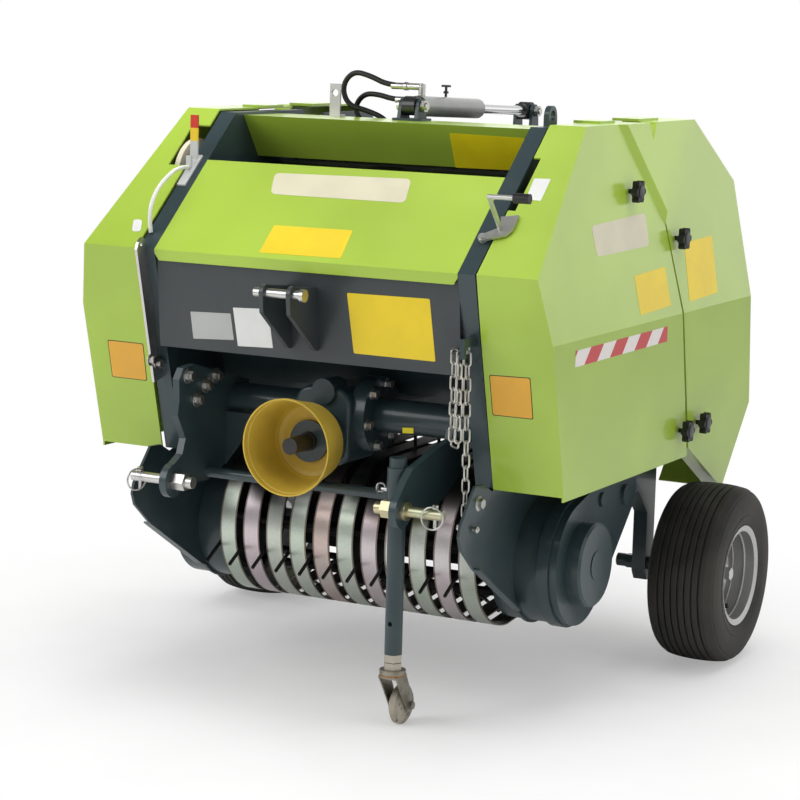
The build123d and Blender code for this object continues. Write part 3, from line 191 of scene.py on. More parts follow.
def powderPaint(name, colour, dusty, chip, roughness, coat=0.0, dustTone=(150, 146, 130)):
    made = Finish(name, Coat_Weight=coat, Coat_Roughness=0.12, IOR=1.46)
    broad = made.noise(2.3, 3.0)
    speckle = made.noise(520.0, 2.0, 0.6)
    low = made.axis("Z").ramp(0.75, 0.1)
    dust = (made.noise(9.0, 6.0, 0.65).ramp(0.42, 0.75) * (low * 0.7 + 0.3)) * dusty
    chips = made.noise(75.0, 4.0, 0.7).ramp(0.72, 0.74) * made.noise(6.0, 2.0).ramp(0.55, 0.62) * chip
    base = made.blend(broad.ramp(0.3, 0.7), shaded(colour, 0.95), shaded(colour, 1.04))
    base = made.blend(dust, base, tone(*dustTone))
    base = made.blend(chips, base, tone(96, 92, 84))
    height = speckle * 0.6 + made.noise(104.0, 1.0) * 0.4 - chips * 0.6
    return made.done(base, broad * 0.06 + roughness + dust * 0.3, made.bump(height, 0.12, 0.0006))


def zincPlate(name, colour, roughness, rainbow, stretch=(1, 1, 1), metallic=1.0):
    made = Finish(name, Metallic=metallic)
    where = made.stretched(*stretch)
    broad = made.noise(7.0, 3.0, 0.55, where)
    swirl = made.noise(3.2, 2.0, 0.5, where)
    scratch = made.noise(160.0, 3.0, 0.6, made.stretched(stretch[0] * 5, stretch[1], stretch[2]))
    base = made.blend(swirl.ramp(0.42, 0.62) * rainbow, tone(*colour), tone(206, 176, 190))
    base = made.blend(broad.ramp(0.5, 0.7) * rainbow, base, tone(176, 198, 170))
    base = made.blend(scratch.ramp(0.45, 0.8) * 0.35, base, shaded(colour, 0.72))
    rough = broad * 0.16 + roughness + scratch * 0.1
    return made.done(base, rough, made.bump(scratch, 0.1, 0.0005))


def mouldedPlastic(name, colour, roughness, mottled=0.06, grain=900.0):
    made = Finish(name, IOR=1.47)
    broad = made.noise(11.0, 4.0)
    fine = made.noise(grain, 2.0)
    base = made.blend(broad.ramp(0.3, 0.72), shaded(colour, 1 - mottled), shaded(colour, 1 + mottled))
    return made.done(base, broad * 0.12 + roughness, made.bump(fine, 0.15, 0.0005))


def blankLabel(name, colour, roughness=0.42):
    made = Finish(name, Coat_Weight=0.25, Coat_Roughness=0.2)
    broad = made.noise(14.0, 3.0)
    base = made.blend(broad.ramp(0.35, 0.7), shaded(colour, 0.97), tone(*colour))
    return made.done(base, broad * 0.1 + roughness)


# each finish: who makes it, its colour as the photograph shows it, and its other values in that order
finishTable = {
    "greenPaint": (powderPaint, (165, 195, 64), 0.10, 0.10, 0.30, 0.5),
    "slatePaint": (powderPaint, (46, 62, 66), 0.20, 0.50, 0.34, 0.3, (112, 112, 104)),
    "platePaint": (powderPaint, (54, 60, 62), 0.22, 0.25, 0.34, 0.2, (120, 120, 114)),
    "rimSilver": (zincPlate, (186, 186, 184), 0.27, 0.0, (1, 1, 1), 0.8),
    "rollerZinc": (zincPlate, (150, 150, 146), 0.38, 0.25, (0.3, 2, 2)),
    "pinZinc": (zincPlate, (206, 196, 160), 0.24, 0.6),
    "silverZinc": (zincPlate, (206, 206, 202), 0.22, 0.15),
    "chainZinc": (zincPlate, (212, 211, 206), 0.26, 0.1),
    "blackenedSteel": (zincPlate, (38, 38, 38), 0.40, 0.0, (1, 1, 1), 0.7),
    "shaftSteel": (mouldedPlastic, (40, 39, 38), 0.4, 0.2, 300.0),
    "ochrePlastic": (mouldedPlastic, (198, 168, 62), 0.38),
    "blackPlastic": (mouldedPlastic, (26, 27, 28), 0.46),
    "creamPlastic": (mouldedPlastic, (214, 208, 184), 0.4),
    "whitePlastic": (mouldedPlastic, (232, 232, 226), 0.34, 0.02),
    "knobGrey": (mouldedPlastic, (52, 54, 56), 0.3),
    "hoseRubber": (mouldedPlastic, (28, 28, 29), 0.42, 0.1),
    "yellowLabel": (blankLabel, (238, 208, 12)),
    # the notice yellow painted lighter: painted light against the shade on the beam and the tube
    "brightLabel": (blankLabel, (255, 236, 10)),
    "orangeLabel": (blankLabel, (226, 168, 44)),
    "creamLabel": (blankLabel, (214, 208, 180)),
    "whiteLabel": (blankLabel, (226, 227, 224)),
    "greyLabel": (blankLabel, (178, 180, 178), 0.3),
}
finishes = {name: make(name, *values) for name, (make, *values) in finishTable.items()}


def tyreRubber():
    made = Finish("tyreRubber", IOR=1.5)
    broad = made.noise(12.0, 5.0, 0.6)
    fine = made.noise(420.0, 3.0)
    dust = made.noise(5.0, 4.0).ramp(0.4, 0.75) * 0.35
    base = made.blend(broad.ramp(0.3, 0.7), tone(26, 25, 24), tone(40, 38, 36))
    base = made.blend(dust, base, tone(82, 76, 66))
    return made.done(base, broad * 0.15 + 0.62, made.bump(fine, 0.3, 0.0006))


gauge = {"yellowFrom": 1.157, "redFrom": 1.185}


def indicatorPaint():             # red, yellow and grey bands of the gauge strip
    made = Finish("indicatorPaint", Roughness=0.35)
    height = made.axis("Z")
    base = made.blend(height > gauge["yellowFrom"], tone(196, 198, 196), tone(232, 196, 40))
    base = made.blend(height > gauge["redFrom"], base, tone(206, 52, 36))
    dirt = made.noise(60.0).ramp(0.62, 0.8) * 0.3
    return made.done(made.blend(dirt, base, tone(120, 118, 110)))


stripes = {"pitch": 0.132, "start": 0.963}


def stripePaint():                # slanted red and white bands
    made = Finish("stripePaint", Roughness=0.38, Coat_Weight=0.3)
    along = made.axis("Y") - made.axis("Z")
    red = ((along / stripes["pitch"] + stripes["start"]) % 1.0) > 0.5
    base = made.blend(red, tone(232, 226, 222), tone(196, 44, 48))
    dirt = made.noise(40.0).ramp(0.6, 0.8) * 0.12
    return made.done(made.blend(dirt, base, tone(150, 146, 140)))


# the last two values bound the painted shade at the bands' top
bandRow = {"first": -0.290, "pitch": 0.058, "width": 0.040, "fold": 0.0034,
           "shadeFrom": 0.375, "shadeTo": 0.450}


def bandZinc():                   # a tint for each band, brown folded edges, painted shade towards the top
    made = Finish("bandZinc", Metallic=1.0)
    row = (made.axis("X") - bandRow["first"]) / bandRow["pitch"]
    inBand = row % 1.0
    number = row - inBand
    across = inBand * bandRow["pitch"]
    where = made.stretched(0.5, 1.6, 1.6)
    broad = made.noise(6.0, 3.0, 0.55, where)
    scratch = made.noise(160.0, 3.0, 0.6, made.stretched(2.5, 1.6, 1.6))
    first = (number * 0.618 + 0.15) % 1.0
    second = (number * 0.377 + 0.4) % 1.0
    base = made.blend(first.ramp(0.2, 0.8) * 0.9, tone(190, 201, 187), tone(206, 190, 198))
    base = made.blend((second > 0.84) * 0.6, base, tone(188, 158, 142))
    base = made.blend(broad.ramp(0.45, 0.75) * 0.7, base, tone(206, 206, 204))
    base = made.blend(scratch.ramp(0.45, 0.8) * 0.3, base, tone(140, 138, 132))
    edge = (across < bandRow["fold"]) + (across > bandRow["width"] - bandRow["fold"])
    base = made.blend(edge * 0.75, base, tone(96, 78, 66))
    # painted shade: the bands darken towards the top, where they curve in out of the light
    high = (made.axis("Z") + broad * 0.05).ramp(bandRow["shadeFrom"], bandRow["shadeTo"])
    base = made.blend(high * 0.85, base, tone(58, 54, 54))
    return made.done(base, broad * 0.14 + 0.25 + edge * 0.12, made.bump(scratch, 0.1, 0.0005))


jackFoot = {"nutTop": 0.156, "gapAt": 0.1395, "gapHalf": 0.0007, "raceAt": 0.1136, "raceHalf": 0.0018}


def jackPaint():                  # painted leg on two zinc nuts
    made = Finish("jackPaint")
    nut = made.axis("Z") < jackFoot["nutTop"]
    gap = (made.axis("Z") - jackFoot["gapAt"]).absolute() < jackFoot["gapHalf"]
    broad = made.noise(9.0, 3.0)
    paint = made.blend(broad.ramp(0.3, 0.7), tone(44, 60, 64), tone(54, 70, 72))
    base = made.blend(nut, paint, tone(178, 172, 158))
    base = made.blend(gap, base, tone(40, 38, 34))
    return made.done(base, broad * 0.12 + 0.32, metallic=nut * 0.85)


def forkZinc():                   # dull zinc with the greased ball race under the plate
    made = Finish("forkZinc")
    race = (made.axis("Z") - jackFoot["raceAt"]).absolute() < jackFoot["raceHalf"]
    broad = made.noise(26.0, 4.0)
    grime = made.noise(90.0, 3.0)
    base = made.blend(broad.ramp(0.4, 0.7), tone(158, 153, 142), tone(122, 116, 102))
    base = made.blend(grime.ramp(0.55, 0.75) * 0.5, base, tone(70, 64, 54))
    base = made.blend(race * 0.85, base, tone(150, 104, 42))
    return made.done(base, broad * 0.2 + 0.26, metallic=0.85)


def casterPlastic():              # pale wheel scuffed on its tread
    made = Finish("casterPlastic")
    broad = made.noise(22.0, 4.0)
    scuff = made.noise(64.0, 4.0, 0.65)
    base = made.blend(broad.ramp(0.35, 0.65), tone(176, 168, 152), tone(142, 134, 118))
    base = made.blend(scuff.ramp(0.54, 0.66) * 0.8, base, tone(66, 60, 54))
    return made.done(base, broad * 0.15 + 0.45, made.bump(scuff, 0.15, 0.001))


# the cylinder's line from its front pin, and the ears of its two brackets
cylinderLine = {"frontY": -0.074, "frontZ": 1.243, "fall": 0.0387, "around": 0.0234, "cap": 0.030,
                "ports": 0.1, "eye": 0.564}
cylinderEars = {"outside": 0.0253, "pinReach": 0.0145, "rearFrom": 0.2, "rearDrop": 0.023}


def barrelPaint():                # grey barrel, bright fittings, black end and screw
    made = Finish("barrelPaint", Coat_Weight=0.25, Coat_Roughness=0.15)
    along = made.axis("Y") - cylinderLine["frontY"]
    above = made.axis("Z") + along * cylinderLine["fall"] - cylinderLine["frontZ"]
    outside = (above > cylinderLine["around"]) + (made.axis("X") < -cylinderLine["around"]) > 0.5
    fitting = outside * (along < cylinderLine["ports"])
    black = outside + (along < cylinderLine["cap"]) > 0.5
    broad = made.noise(12.0, 4.0)
    base = made.blend(broad.ramp(0.3, 0.7), tone(142, 143, 141), tone(156, 157, 155))
    base = made.blend(black, base, tone(36, 37, 38))
    base = made.blend(fitting, base, tone(206, 206, 202))
    return made.done(base, broad * 0.1 + 0.27, metallic=fitting * 0.9)


def chromeRod():                  # bright rod with a black eye
    made = Finish("chromeRod")
    eye = made.axis("Y") - cylinderLine["frontY"] > cylinderLine["eye"]
    broad = made.noise(7.0, 3.0)
    base = made.blend(eye, tone(222, 222, 222), tone(36, 37, 38))
    return made.done(base, broad * 0.1 + 0.08 + eye * 0.26, metallic=1 - eye)


def bracketPaint():               # painted ears on bright pins
    made = Finish("bracketPaint")
    rear = made.axis("Y") > cylinderEars["rearFrom"]
    pinZ = cylinderLine["frontZ"] - rear * cylinderEars["rearDrop"]
    pin = (made.axis("X").absolute() > cylinderEars["outside"]) \
        * ((made.axis("Z") - pinZ).absolute() < cylinderEars["pinReach"])
    broad = made.noise(9.0, 3.0)
    base = made.blend(broad.ramp(0.3, 0.7), tone(43, 58, 62), tone(50, 66, 70))
    base = made.blend(pin, base, tone(212, 211, 206))
    return made.done(base, broad * 0.1 + 0.3, metallic=pin * 0.95)


crank = {"gripFrom": 0.459}


def crankSteel():                 # bright bracket and rod, black grip beyond the rod's end
    made = Finish("crankSteel")
    grip = made.axis("X") > crank["gripFrom"]
    broad = made.noise(14.0, 3.0)
    zinc = made.blend(broad.ramp(0.3, 0.7), tone(196, 196, 190), tone(222, 222, 217))
    base = made.blend(grip, zinc, tone(30, 30, 31))
    return made.done(base, broad * 0.1 + 0.26 + grip * 0.16, metallic=(1 - grip) * 0.75)


for make in (tyreRubber, indicatorPaint, stripePaint, bandZinc, jackPaint, forkZinc, casterPlastic,
             barrelPaint, chromeRod, bracketPaint, crankSteel):
    finishes[make.__name__] = make()

# which finish each CAD piece wears, by how its name starts
nodeFinish = {
    "greenPaint": ["front_cover", "rear_cover", "hood", "top_beam"],
    "platePaint": ["front_plate", "top_link_ears"],
    "slatePaint": ["chamber_wall", "tailgate_wall", "tailgate_beams", "frame_crosspieces", "gearbox",
                   "drive_tubes", "hitch_arm", "jack_sleeve", "pickup_side", "pickup_drums",
                   "pickup_drive_case", "wheel_leg", "hose_block", "hitch_crossbar", "lifting_eye"],
    "bracketPaint": ["cylinder_front_bracket", "cylinder_rear_bracket"],
    "rimSilver": ["rim"],
    "jackPaint": ["jack_leg"],
    "bandZinc": ["pickup_bands"],
    "rollerZinc": ["front_rollers", "tailgate_rollers"],
    "blackenedSteel": ["pickup_reel", "pickup_crosspieces"],
    "crankSteel": ["crank_handle"],
    "silverZinc": ["hitch_pin_left", "top_link_pin", "twine_lever", "holed_upright"],
    "pinZinc": ["hitch_pin_right"],
    "chainZinc": ["lift_chain"],
    "forkZinc": ["caster_fork"],
    "casterPlastic": ["caster_wheel"],
    "shaftSteel": ["pto_shaft"],
    "chromeRod": ["cylinder_rod"],
    "barrelPaint": ["cylinder_barrel"],
    "ochrePlastic": ["pto_shield"],
    "blackPlastic": ["front_knobs", "rear_knobs"],
    "creamPlastic": ["twine_disc"],
    "tyreRubber": ["tyre"],
    "indicatorPaint": ["fill_indicator"],
}
for finishName, starts in nodeFinish.items():
    for nodeName, obj in nodes.items():
        if any(nodeName.startswith(start) for start in starts):
            obj.data.materials.clear()
            obj.data.materials.append(finishes[finishName])
print("finishes made")


# hoses and the twine tube
cordRoutes = {
    "hose_long": {
        "points": ((-0.0343, -0.0284, 1.2833), (-0.084, -0.03, 1.284), (-0.13, -0.027, 1.303),
                   (-0.176, -0.024, 1.312), (-0.205, -0.021, 1.278), (-0.191, -0.019, 1.236),
                   (-0.142, -0.017, 1.226), (-0.095, -0.015, 1.209), (-0.072, -0.013, 1.172),
                   (-0.072, -0.013, 1.1403)),
        "diameter": 0.012, "length": 0.39, "finish": "hoseRubber", "slot": "hose_rubber",
        "bends": ((0, 0, 1.255), (0, 0, 1.165))},
    "hose_short": {
        "points": ((-0.0343, -0.0076, 1.2524), (-0.08, -0.006, 1.252), (-0.122, -0.001, 1.262),
                   (-0.164, 0.007, 1.262), (-0.19, 0.012, 1.232), (-0.174, 0.013, 1.2), (-0.134, 0.01, 1.19),
                   (-0.104, 0.005, 1.172), (-0.104, 0.005, 1.1403)),
        "diameter": 0.012, "length": 0.3, "finish": "hoseRubber", "slot": "hose_rubber",
        "bends": ((0, 0, 1.248), (0, 0, 1.160))},
    "twine_tube": {
        "points": ((-0.385, -0.5133, 0.9708), (-0.385, -0.521, 1.006), (-0.385, -0.508, 1.04),
                   (-0.385, -0.481, 1.068), (-0.385, -0.446, 1.088), (-0.385, -0.41, 1.1025),
                   (-0.385, -0.3712, 1.1025)),
        "diameter": 0.009, "length": 0.225, "finish": "whitePlastic", "slot": "white_plastic"},
}
for cordName, route in cordRoutes.items():
    curve = bpy.data.curves.new(cordName + "Line", "CURVE")
    curve.dimensions = "3D"
    curve.resolution_u = 12
    line = curve.splines.new("NURBS")
    line.points.add(len(route["points"]) - 1)
    for spot, where in zip(line.points, route["points"]):
        spot.co = (*where, 1.0)
    line.use_endpoint_u = True
    line.order_u = 3
    piece = bpy.data.objects.new(cordName + "Run", curve)
    bpy.context.scene.collection.objects.link(piece)
    curve.materials.append(finishes[route["finish"]])
    bareLine = piece.evaluated_get(bpy.context.evaluated_depsgraph_get())    # before it gets its thickness
    centreLine = bpy.data.meshes.new_from_object(bareLine)
    path = [tuple(vert.co) for vert in centreLine.vertices]
    bpy.data.meshes.remove(centreLine)
    curve.bevel_depth = route["diameter"] / 2
    curve.bevel_resolution = 5
    curve.use_fill_caps = True
    clearPick()
    piece.select_set(True)
    bpy.context.view_layer.objects.active = piece
    bpy.ops.object.convert(target="MESH")
    piece = bpy.context.object
    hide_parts(cordName)
    if "bends" in route:          # the hoses keep their place in the world and ride no body
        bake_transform(piece)
    else:
        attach(piece, "root")
print("cords laid")


# modelling helpers
def settle(obj, name, finishName, body, angle=30):
    clearPick()
    obj.select_set(True)
    bpy.context.view_layer.objects.active = obj
    bpy.ops.object.transform_apply(location=True, rotation=True, scale=True)
    if angle:
        bpy.ops.object.shade_smooth_by_angle(angle=math.radians(angle))
    obj.name = name
    obj.data.materials.clear()
    obj.data.materials.append(finishes[finishName])
    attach(obj, body)
    return obj


def pickFaces(obj, test):
    for element in (*obj.data.vertices, *obj.data.edges):
        element.select = False
    for face in obj.data.polygons:
        face.select = bool(test(face))


def joined(pieces):
    clearPick()
    for piece in pieces:
        piece.select_set(True)
    bpy.context.view_layer.objects.active = pieces[0]
    if len(pieces) > 1:
        bpy.ops.object.join()
    return bpy.context.object


def copies(template, places):     # one piece made of copies, and the template goes
    made = []
    for place in places:
        one = template.copy()
        one.data = template.data.copy()
        one.data.transform(place)
        bpy.context.scene.collection.objects.link(one)
        made.append(one)
    mesh = template.data
    bpy.data.objects.remove(template)
    bpy.data.meshes.remove(mesh)
    return joined(made)


def facing(normal, where):        # a place whose own Z looks along normal
    turned = Vector(normal).to_track_quat("Z", "Y").to_matrix().to_4x4()
    return Matrix.Translation(Vector(where)) @ turned


washerThick = 0.0018


def hexBolt(across, high, washer):
    clearPick()
    bpy.ops.mesh.primitive_cylinder_add(vertices=6, radius=across / math.sqrt(3), depth=high,
                                        location=(0, 0, high / 2 + washerThick))
    head = bpy.context.object
    pickFaces(head, lambda face: face.normal.z > 0.9)
    bpy.ops.object.mode_set(mode="EDIT")
    bpy.ops.mesh.select_mode(type="FACE")
    bpy.ops.mesh.inset(thickness=across * 0.06)
    bpy.ops.transform.translate(value=(0, 0, high * 0.08))
    bpy.ops.object.mode_set(mode="OBJECT")
    clearPick()
    bpy.ops.mesh.primitive_cylinder_add(vertices=24, radius=washer, depth=washerThick,
                                        location=(0, 0, washerThick / 2))
    ring = bpy.context.object
    pickFaces(ring, lambda face: face.normal.z > 0.9)
    bpy.ops.object.mode_set(mode="EDIT")
    bpy.ops.mesh.bevel(offset=0.0005, segments=2)
    bpy.ops.object.mode_set(mode="OBJECT")
    bolt = joined([head, ring])
    bpy.ops.object.transform_apply(location=True, rotation=True, scale=True)
    return bolt


# tyres with ribs round the tread
tyreShape = {"ribs": 8, "ribWidth": 0.0122, "groove": 0.0036, "deep": 0.0055, "soft": 0.0012,
             "crown": 0.0052, "steps": 96,
             "wall": ((0.0700, 0.1925), (0.0748, 0.1880), (0.0752, 0.1850), (0.0782, 0.1820),
                      (0.0815, 0.1700), (0.0823, 0.1580), (0.0818, 0.1450), (0.0808, 0.1380),
                      (0.0818, 0.1368), (0.0812, 0.1340), (0.0795, 0.1290), (0.0778, 0.1225),
                      (0.0762, 0.1176), (0.0750, 0.1158), (0.0724, 0.1146), (0.0700, 0.1100),
                      (0.0684, 0.1050))}


def tyreProfile():                # x and radius of the tread from left to right, then both side walls
    ribs, width, soft, deep = (tyreShape[key] for key in ("ribs", "ribWidth", "soft", "deep"))
    pitch = width + tyreShape["groove"]
    half = (ribs * width + (ribs - 1) * tyreShape["groove"]) / 2
    tread = []
    for k in range(ribs):
        start = -half + k * pitch
        tread += [(start, soft), (start + soft, 0.0), (start + width - soft, 0.0), (start + width, soft)]
        if k < ribs - 1:
            tread += [(start + width + soft / 2, deep), (start + pitch - soft / 2, deep)]
    tread = [(x, wheel["radius"] - (abs(x) / half) ** 2.4 * tyreShape["crown"] - sink) for x, sink in tread]
    return tread + list(tyreShape["wall"]) + [(-x, r) for x, r in reversed(tyreShape["wall"])]


def makeTyre(sideName, side):
    outline = tyreProfile()
    clearPick()
    bpy.ops.mesh.primitive_circle_add(vertices=len(outline), radius=0.1)
    tyre = bpy.context.object
    for vert, (x, r) in zip(tyre.data.vertices, outline):
        vert.co = (x, 0, r)
    bpy.ops.object.mode_set(mode="EDIT")
    bpy.ops.mesh.select_all(action="SELECT")
    bpy.ops.mesh.spin(steps=tyreShape["steps"], angle=math.tau, center=(0, 0, 0), axis=(1, 0, 0))
    bpy.ops.mesh.select_all(action="SELECT")
    bpy.ops.mesh.remove_doubles(threshold=0.0002)
    bpy.ops.mesh.normals_make_consistent(inside=False)
    bpy.ops.object.mode_set(mode="OBJECT")
    tyre.location = (side * wheel["centre"], wheel["axleY"], wheel["radius"])
    settle(tyre, "ribbedTyre_" + sideName, "tyreRubber", "wheel_" + sideName, 24)
    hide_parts("tyre_" + sideName)


for sideName, side in sides.items():
    makeTyre(sideName, side)
print("tyres made")


# chain links: the taut strand, and beside it a loose loop that one level link closes below
chainShape = {"length": 0.0345, "width": 0.019, "wire": 0.0042, "gap": 0.0003,
              "top": (0.373, seam - 0.700, 0.795), "low": (0.371, seam - 0.683, 0.422), "tautLinks": 15,
              "looseA": (0.350, seam - 0.711), "looseB": (0.369, seam - 0.724), "looseLinks": 7,
              "looseDrop": 0.022}


def linkPlace(centre, along, across):
    x, z = Vector(along).normalized(), Vector(across)
    z = (z - x * z.dot(x)).normalized()
    turned = Matrix((x, z.cross(x), z)).transposed().to_4x4()
    return Matrix.Translation(Vector(centre)) @ turned


def makeChain():
    length, width, wire, gap = (chainShape[key] for key in ("length", "width", "wire", "gap"))
    clearPick()
    bpy.ops.mesh.primitive_torus_add(major_radius=(width - wire) / 2, minor_radius=wire / 2,
                                     major_segments=24, minor_segments=10)
    link = bpy.context.object
    stretch = (length - width) / 2
    for way in (1, -1):
        for vert in link.data.vertices:
            if vert.co.x * way > 0.0001:
                vert.co.x += way * stretch
    pitch = length - 2 * wire - gap
    top = Vector(chainShape["top"])
    along = (Vector(chainShape["low"]) - top).normalized()
    sideways = Vector((1, 0, 0))
    places = [linkPlace(top + along * (k * pitch), along, sideways if k % 2 == 0 else sideways.cross(along))
              for k in range(chainShape["tautLinks"])]
    a, b = Vector((*chainShape["looseA"], 0)), Vector((*chainShape["looseB"], 0))
    step = (b - a).normalized()
    down = Vector((0, 0, -1))
    looseTop = top.z - chainShape["looseDrop"]
    for foot in (a, b):
        for k in range(chainShape["looseLinks"]):
            centre = foot + Vector((0, 0, looseTop - k * pitch))
            places.append(linkPlace(centre, down, step if k % 2 == 0 else step.cross(down)))
    low = looseTop - (chainShape["looseLinks"] - 1) * pitch - length / 2 + wire + gap - (width / 2 - wire)
    places.append(linkPlace((a + b) / 2 + Vector((0, 0, low)), step, step.cross(down)))
    chain = copies(link, places)
    settle(chain, "liftChainLinks", "chainZinc", "root", 60)
    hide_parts("lift_chain")


makeChain()
print("chain made")


# blank labels and plates, each laid on the face that carries it
def onFace(px, py, spot, normal):     # where the photograph's pixel meets the plane through spot
    start = Vector(cameraView["place"])
    deep = frameSide * cameraView["lens"] / cameraView["film"]
    way = ahead * deep + acrossView * (px - frameSide / 2) + upView * (frameSide / 2 - py)
    return start + way * ((spot - start).dot(normal) / way.dot(normal))


def slopeFace(low, high):         # the face through two Y-Z points, facing the front
    normal = Vector((0, low[1] - high[1], high[0] - low[0])).normalized()
    return Vector((0, seam + low[0], low[1])), normal


faces = {                         # a point on each face and the way it looks
    "hood": slopeFace((-0.719, 0.939), (-0.514, 1.118)),
    "plate": slopeFace((-0.691, 0.732), (-0.7086, 0.924)),
    "beam": slopeFace((-0.303, 1.119), (-0.368, 1.211)),
    "tube": (Vector((0, seam - 0.558, 0.590)), Vector((0, -0.85, -0.5))),
    "coverFront": slopeFace((-0.612, 0.495), (-0.692, 0.808)),
    "coverSlope": slopeFace((-0.723, 0.940), (-0.398, 1.223)),
    "side": (Vector((0.553, 0, 0)), Vector((1, 0, 0))),
    "leftSide": (Vector((-0.553, 0, 0)), Vector((-1, 0, 0))),
    "leaningSide": (Vector((0.553, 0, 0.808)), Vector((0.415, 0, 0.074))),
}
labels = {                        # corners as pixels of the photograph, or as places in the source's frame
    "hoodPlate": {
        "face": "hood", "finish": "creamLabel", "round": 0.012,
        "pixels": ((270.5, 194), (275, 173), (411.5, 179), (405, 203))},
    "hoodNotice": {
        "face": "hood", "finish": "yellowLabel", "round": 0.003,
        "pixels": ((259, 252.6), (274.3, 225.3), (352.9, 230.4), (340.6, 258.5))},
    "plateNotice": {
        "face": "plate", "finish": "yellowLabel", "round": 0.003,
        "pixels": ((353.9, 353.3), (347, 292.8), (429.7, 298.9), (435.5, 361.7))},
    "gradePlate": {
        "face": "plate", "finish": "greyLabel", "round": 0.002,
        "pixels": ((193.5, 338.5), (190.5, 311.5), (230.5, 313.5), (234, 340))},
    "whiteNotice": {
        "face": "plate", "finish": "whiteLabel", "round": 0.001,
        "pixels": ((238, 346), (233, 307.5), (268, 309), (273, 348))},
    "beamNotice": {
        "face": "beam", "finish": "brightLabel", "round": 0.003,
        "pixels": ((455.5, 167.5), (449.5, 133), (524, 138), (535, 171.2))},
    "tubeNotice": {
        "face": "tube", "finish": "brightLabel", "round": 0.001,
        "pixels": ((402.5, 433), (402.5, 427.6), (413.5, 427.8), (413.5, 433.4))},
    "roundSticker": {
        "face": "coverSlope", "finish": "whiteLabel", "round": 0.0072,
        "pixels": ((131.8, 231.4), (133.6, 219.4), (142.2, 219.8), (140.6, 231.6))},
    "leftNotice": {
        "face": "coverFront", "finish": "orangeLabel", "round": 0.004, "border": 0.0022,
        "pixels": ((112.8, 376.2), (108.2, 340.3), (142.7, 344.1), (146.5, 380.1))},
    "rightNotice": {
        "face": "coverFront", "finish": "orangeLabel", "round": 0.004, "border": 0.0022,
        "pixels": ((493.1, 414.5), (490, 375.5), (529.8, 378.5), (532.6, 418.8))},
    "slopeNotice": {
        "face": "coverSlope", "finish": "whiteLabel", "round": 0.001,
        "pixels": ((525.9, 199), (534.3, 178.6), (550.9, 179.1), (540.7, 201.1))},
    "sideStripe": {
        "face": "side", "finish": "stripePaint", "round": 0.001,
        "places": ((0.553, -0.58, 0.755), (0.553, -0.58, 0.788),
                   (0.553, -0.084, 0.788), (0.553, -0.084, 0.755))},
    "sideStripe_left": {
        "face": "leftSide", "finish": "stripePaint", "round": 0.001,
        "places": ((-0.553, -0.084, 0.755), (-0.553, -0.084, 0.788),
                   (-0.553, -0.58, 0.788), (-0.553, -0.58, 0.755))},
    "sideNotice": {
        "face": "leaningSide", "finish": "yellowLabel", "round": 0.003,
        "places": ((0.549, -0.236, 0.826), (0.535, -0.244, 0.909),
                   (0.534, -0.068, 0.915), (0.549, -0.059, 0.831))},
    "sidePlate": {
        "face": "leaningSide", "finish": "creamLabel", "round": 0.012,
        "places": ((0.526, -0.425, 0.962), (0.514, -0.436, 1.025),
                   (0.513, -0.142, 1.035), (0.525, -0.142, 0.965))},
    "rearNotice": {
        "face": "leaningSide", "finish": "yellowLabel", "round": 0.003, "body": "tailgate",
        "places": ((0.549, 0.052, 0.829), (0.526, 0.062, 0.957),
                   (0.526, 0.238, 0.962), (0.549, 0.231, 0.834))},
}
labelSheet = {"lift": 0.00045, "thick": 0.00035, "borderLift": 0.00038}


def makeLabel(name, label, lift=labelSheet["lift"], grow=0.0):
    spot, normal = faces[label["face"]]
    normal = normal.normalized()
    if "pixels" in label:
        corners = [onFace(px, py, spot, normal) for px, py in label["pixels"]]
    else:
        corners = [Vector((x, y + seam, z)) for x, y, z in label["places"]]
        corners = [c - normal * (c - spot).dot(normal) for c in corners]
    middle = sum(corners, Vector()) / 4
    corners = [c + (c - middle).normalized() * grow for c in corners]
    clearPick()
    bpy.ops.mesh.primitive_plane_add(size=1)
    sheet = bpy.context.object
    order = (0, 3, 1, 2)          # a plane's corners run in rows
    for vert, k in zip(sheet.data.vertices, order):
        vert.co = corners[k] + normal * lift
    bpy.ops.object.mode_set(mode="EDIT")
    bpy.ops.mesh.select_all(action="SELECT")
    bpy.ops.mesh.bevel(offset=label["round"], segments=5, affect="VERTICES")
    bpy.ops.mesh.select_all(action="SELECT")
    bpy.ops.mesh.extrude_region_move(TRANSFORM_OT_translate={"value": -normal * labelSheet["thick"]})
    bpy.ops.mesh.select_all(action="SELECT")
    bpy.ops.mesh.normals_make_consistent(inside=False)
    bpy.ops.object.mode_set(mode="OBJECT")
    settle(sheet, name, label["finish"], label.get("body", "root"), 0)


for labelName, label in labels.items():
    makeLabel(labelName, label)
    if "border" in label:
        edged = dict(label, finish="blackPlastic")
        makeLabel(labelName + "Border", edged, labelSheet["borderLift"], label["border"])
print("labels laid")


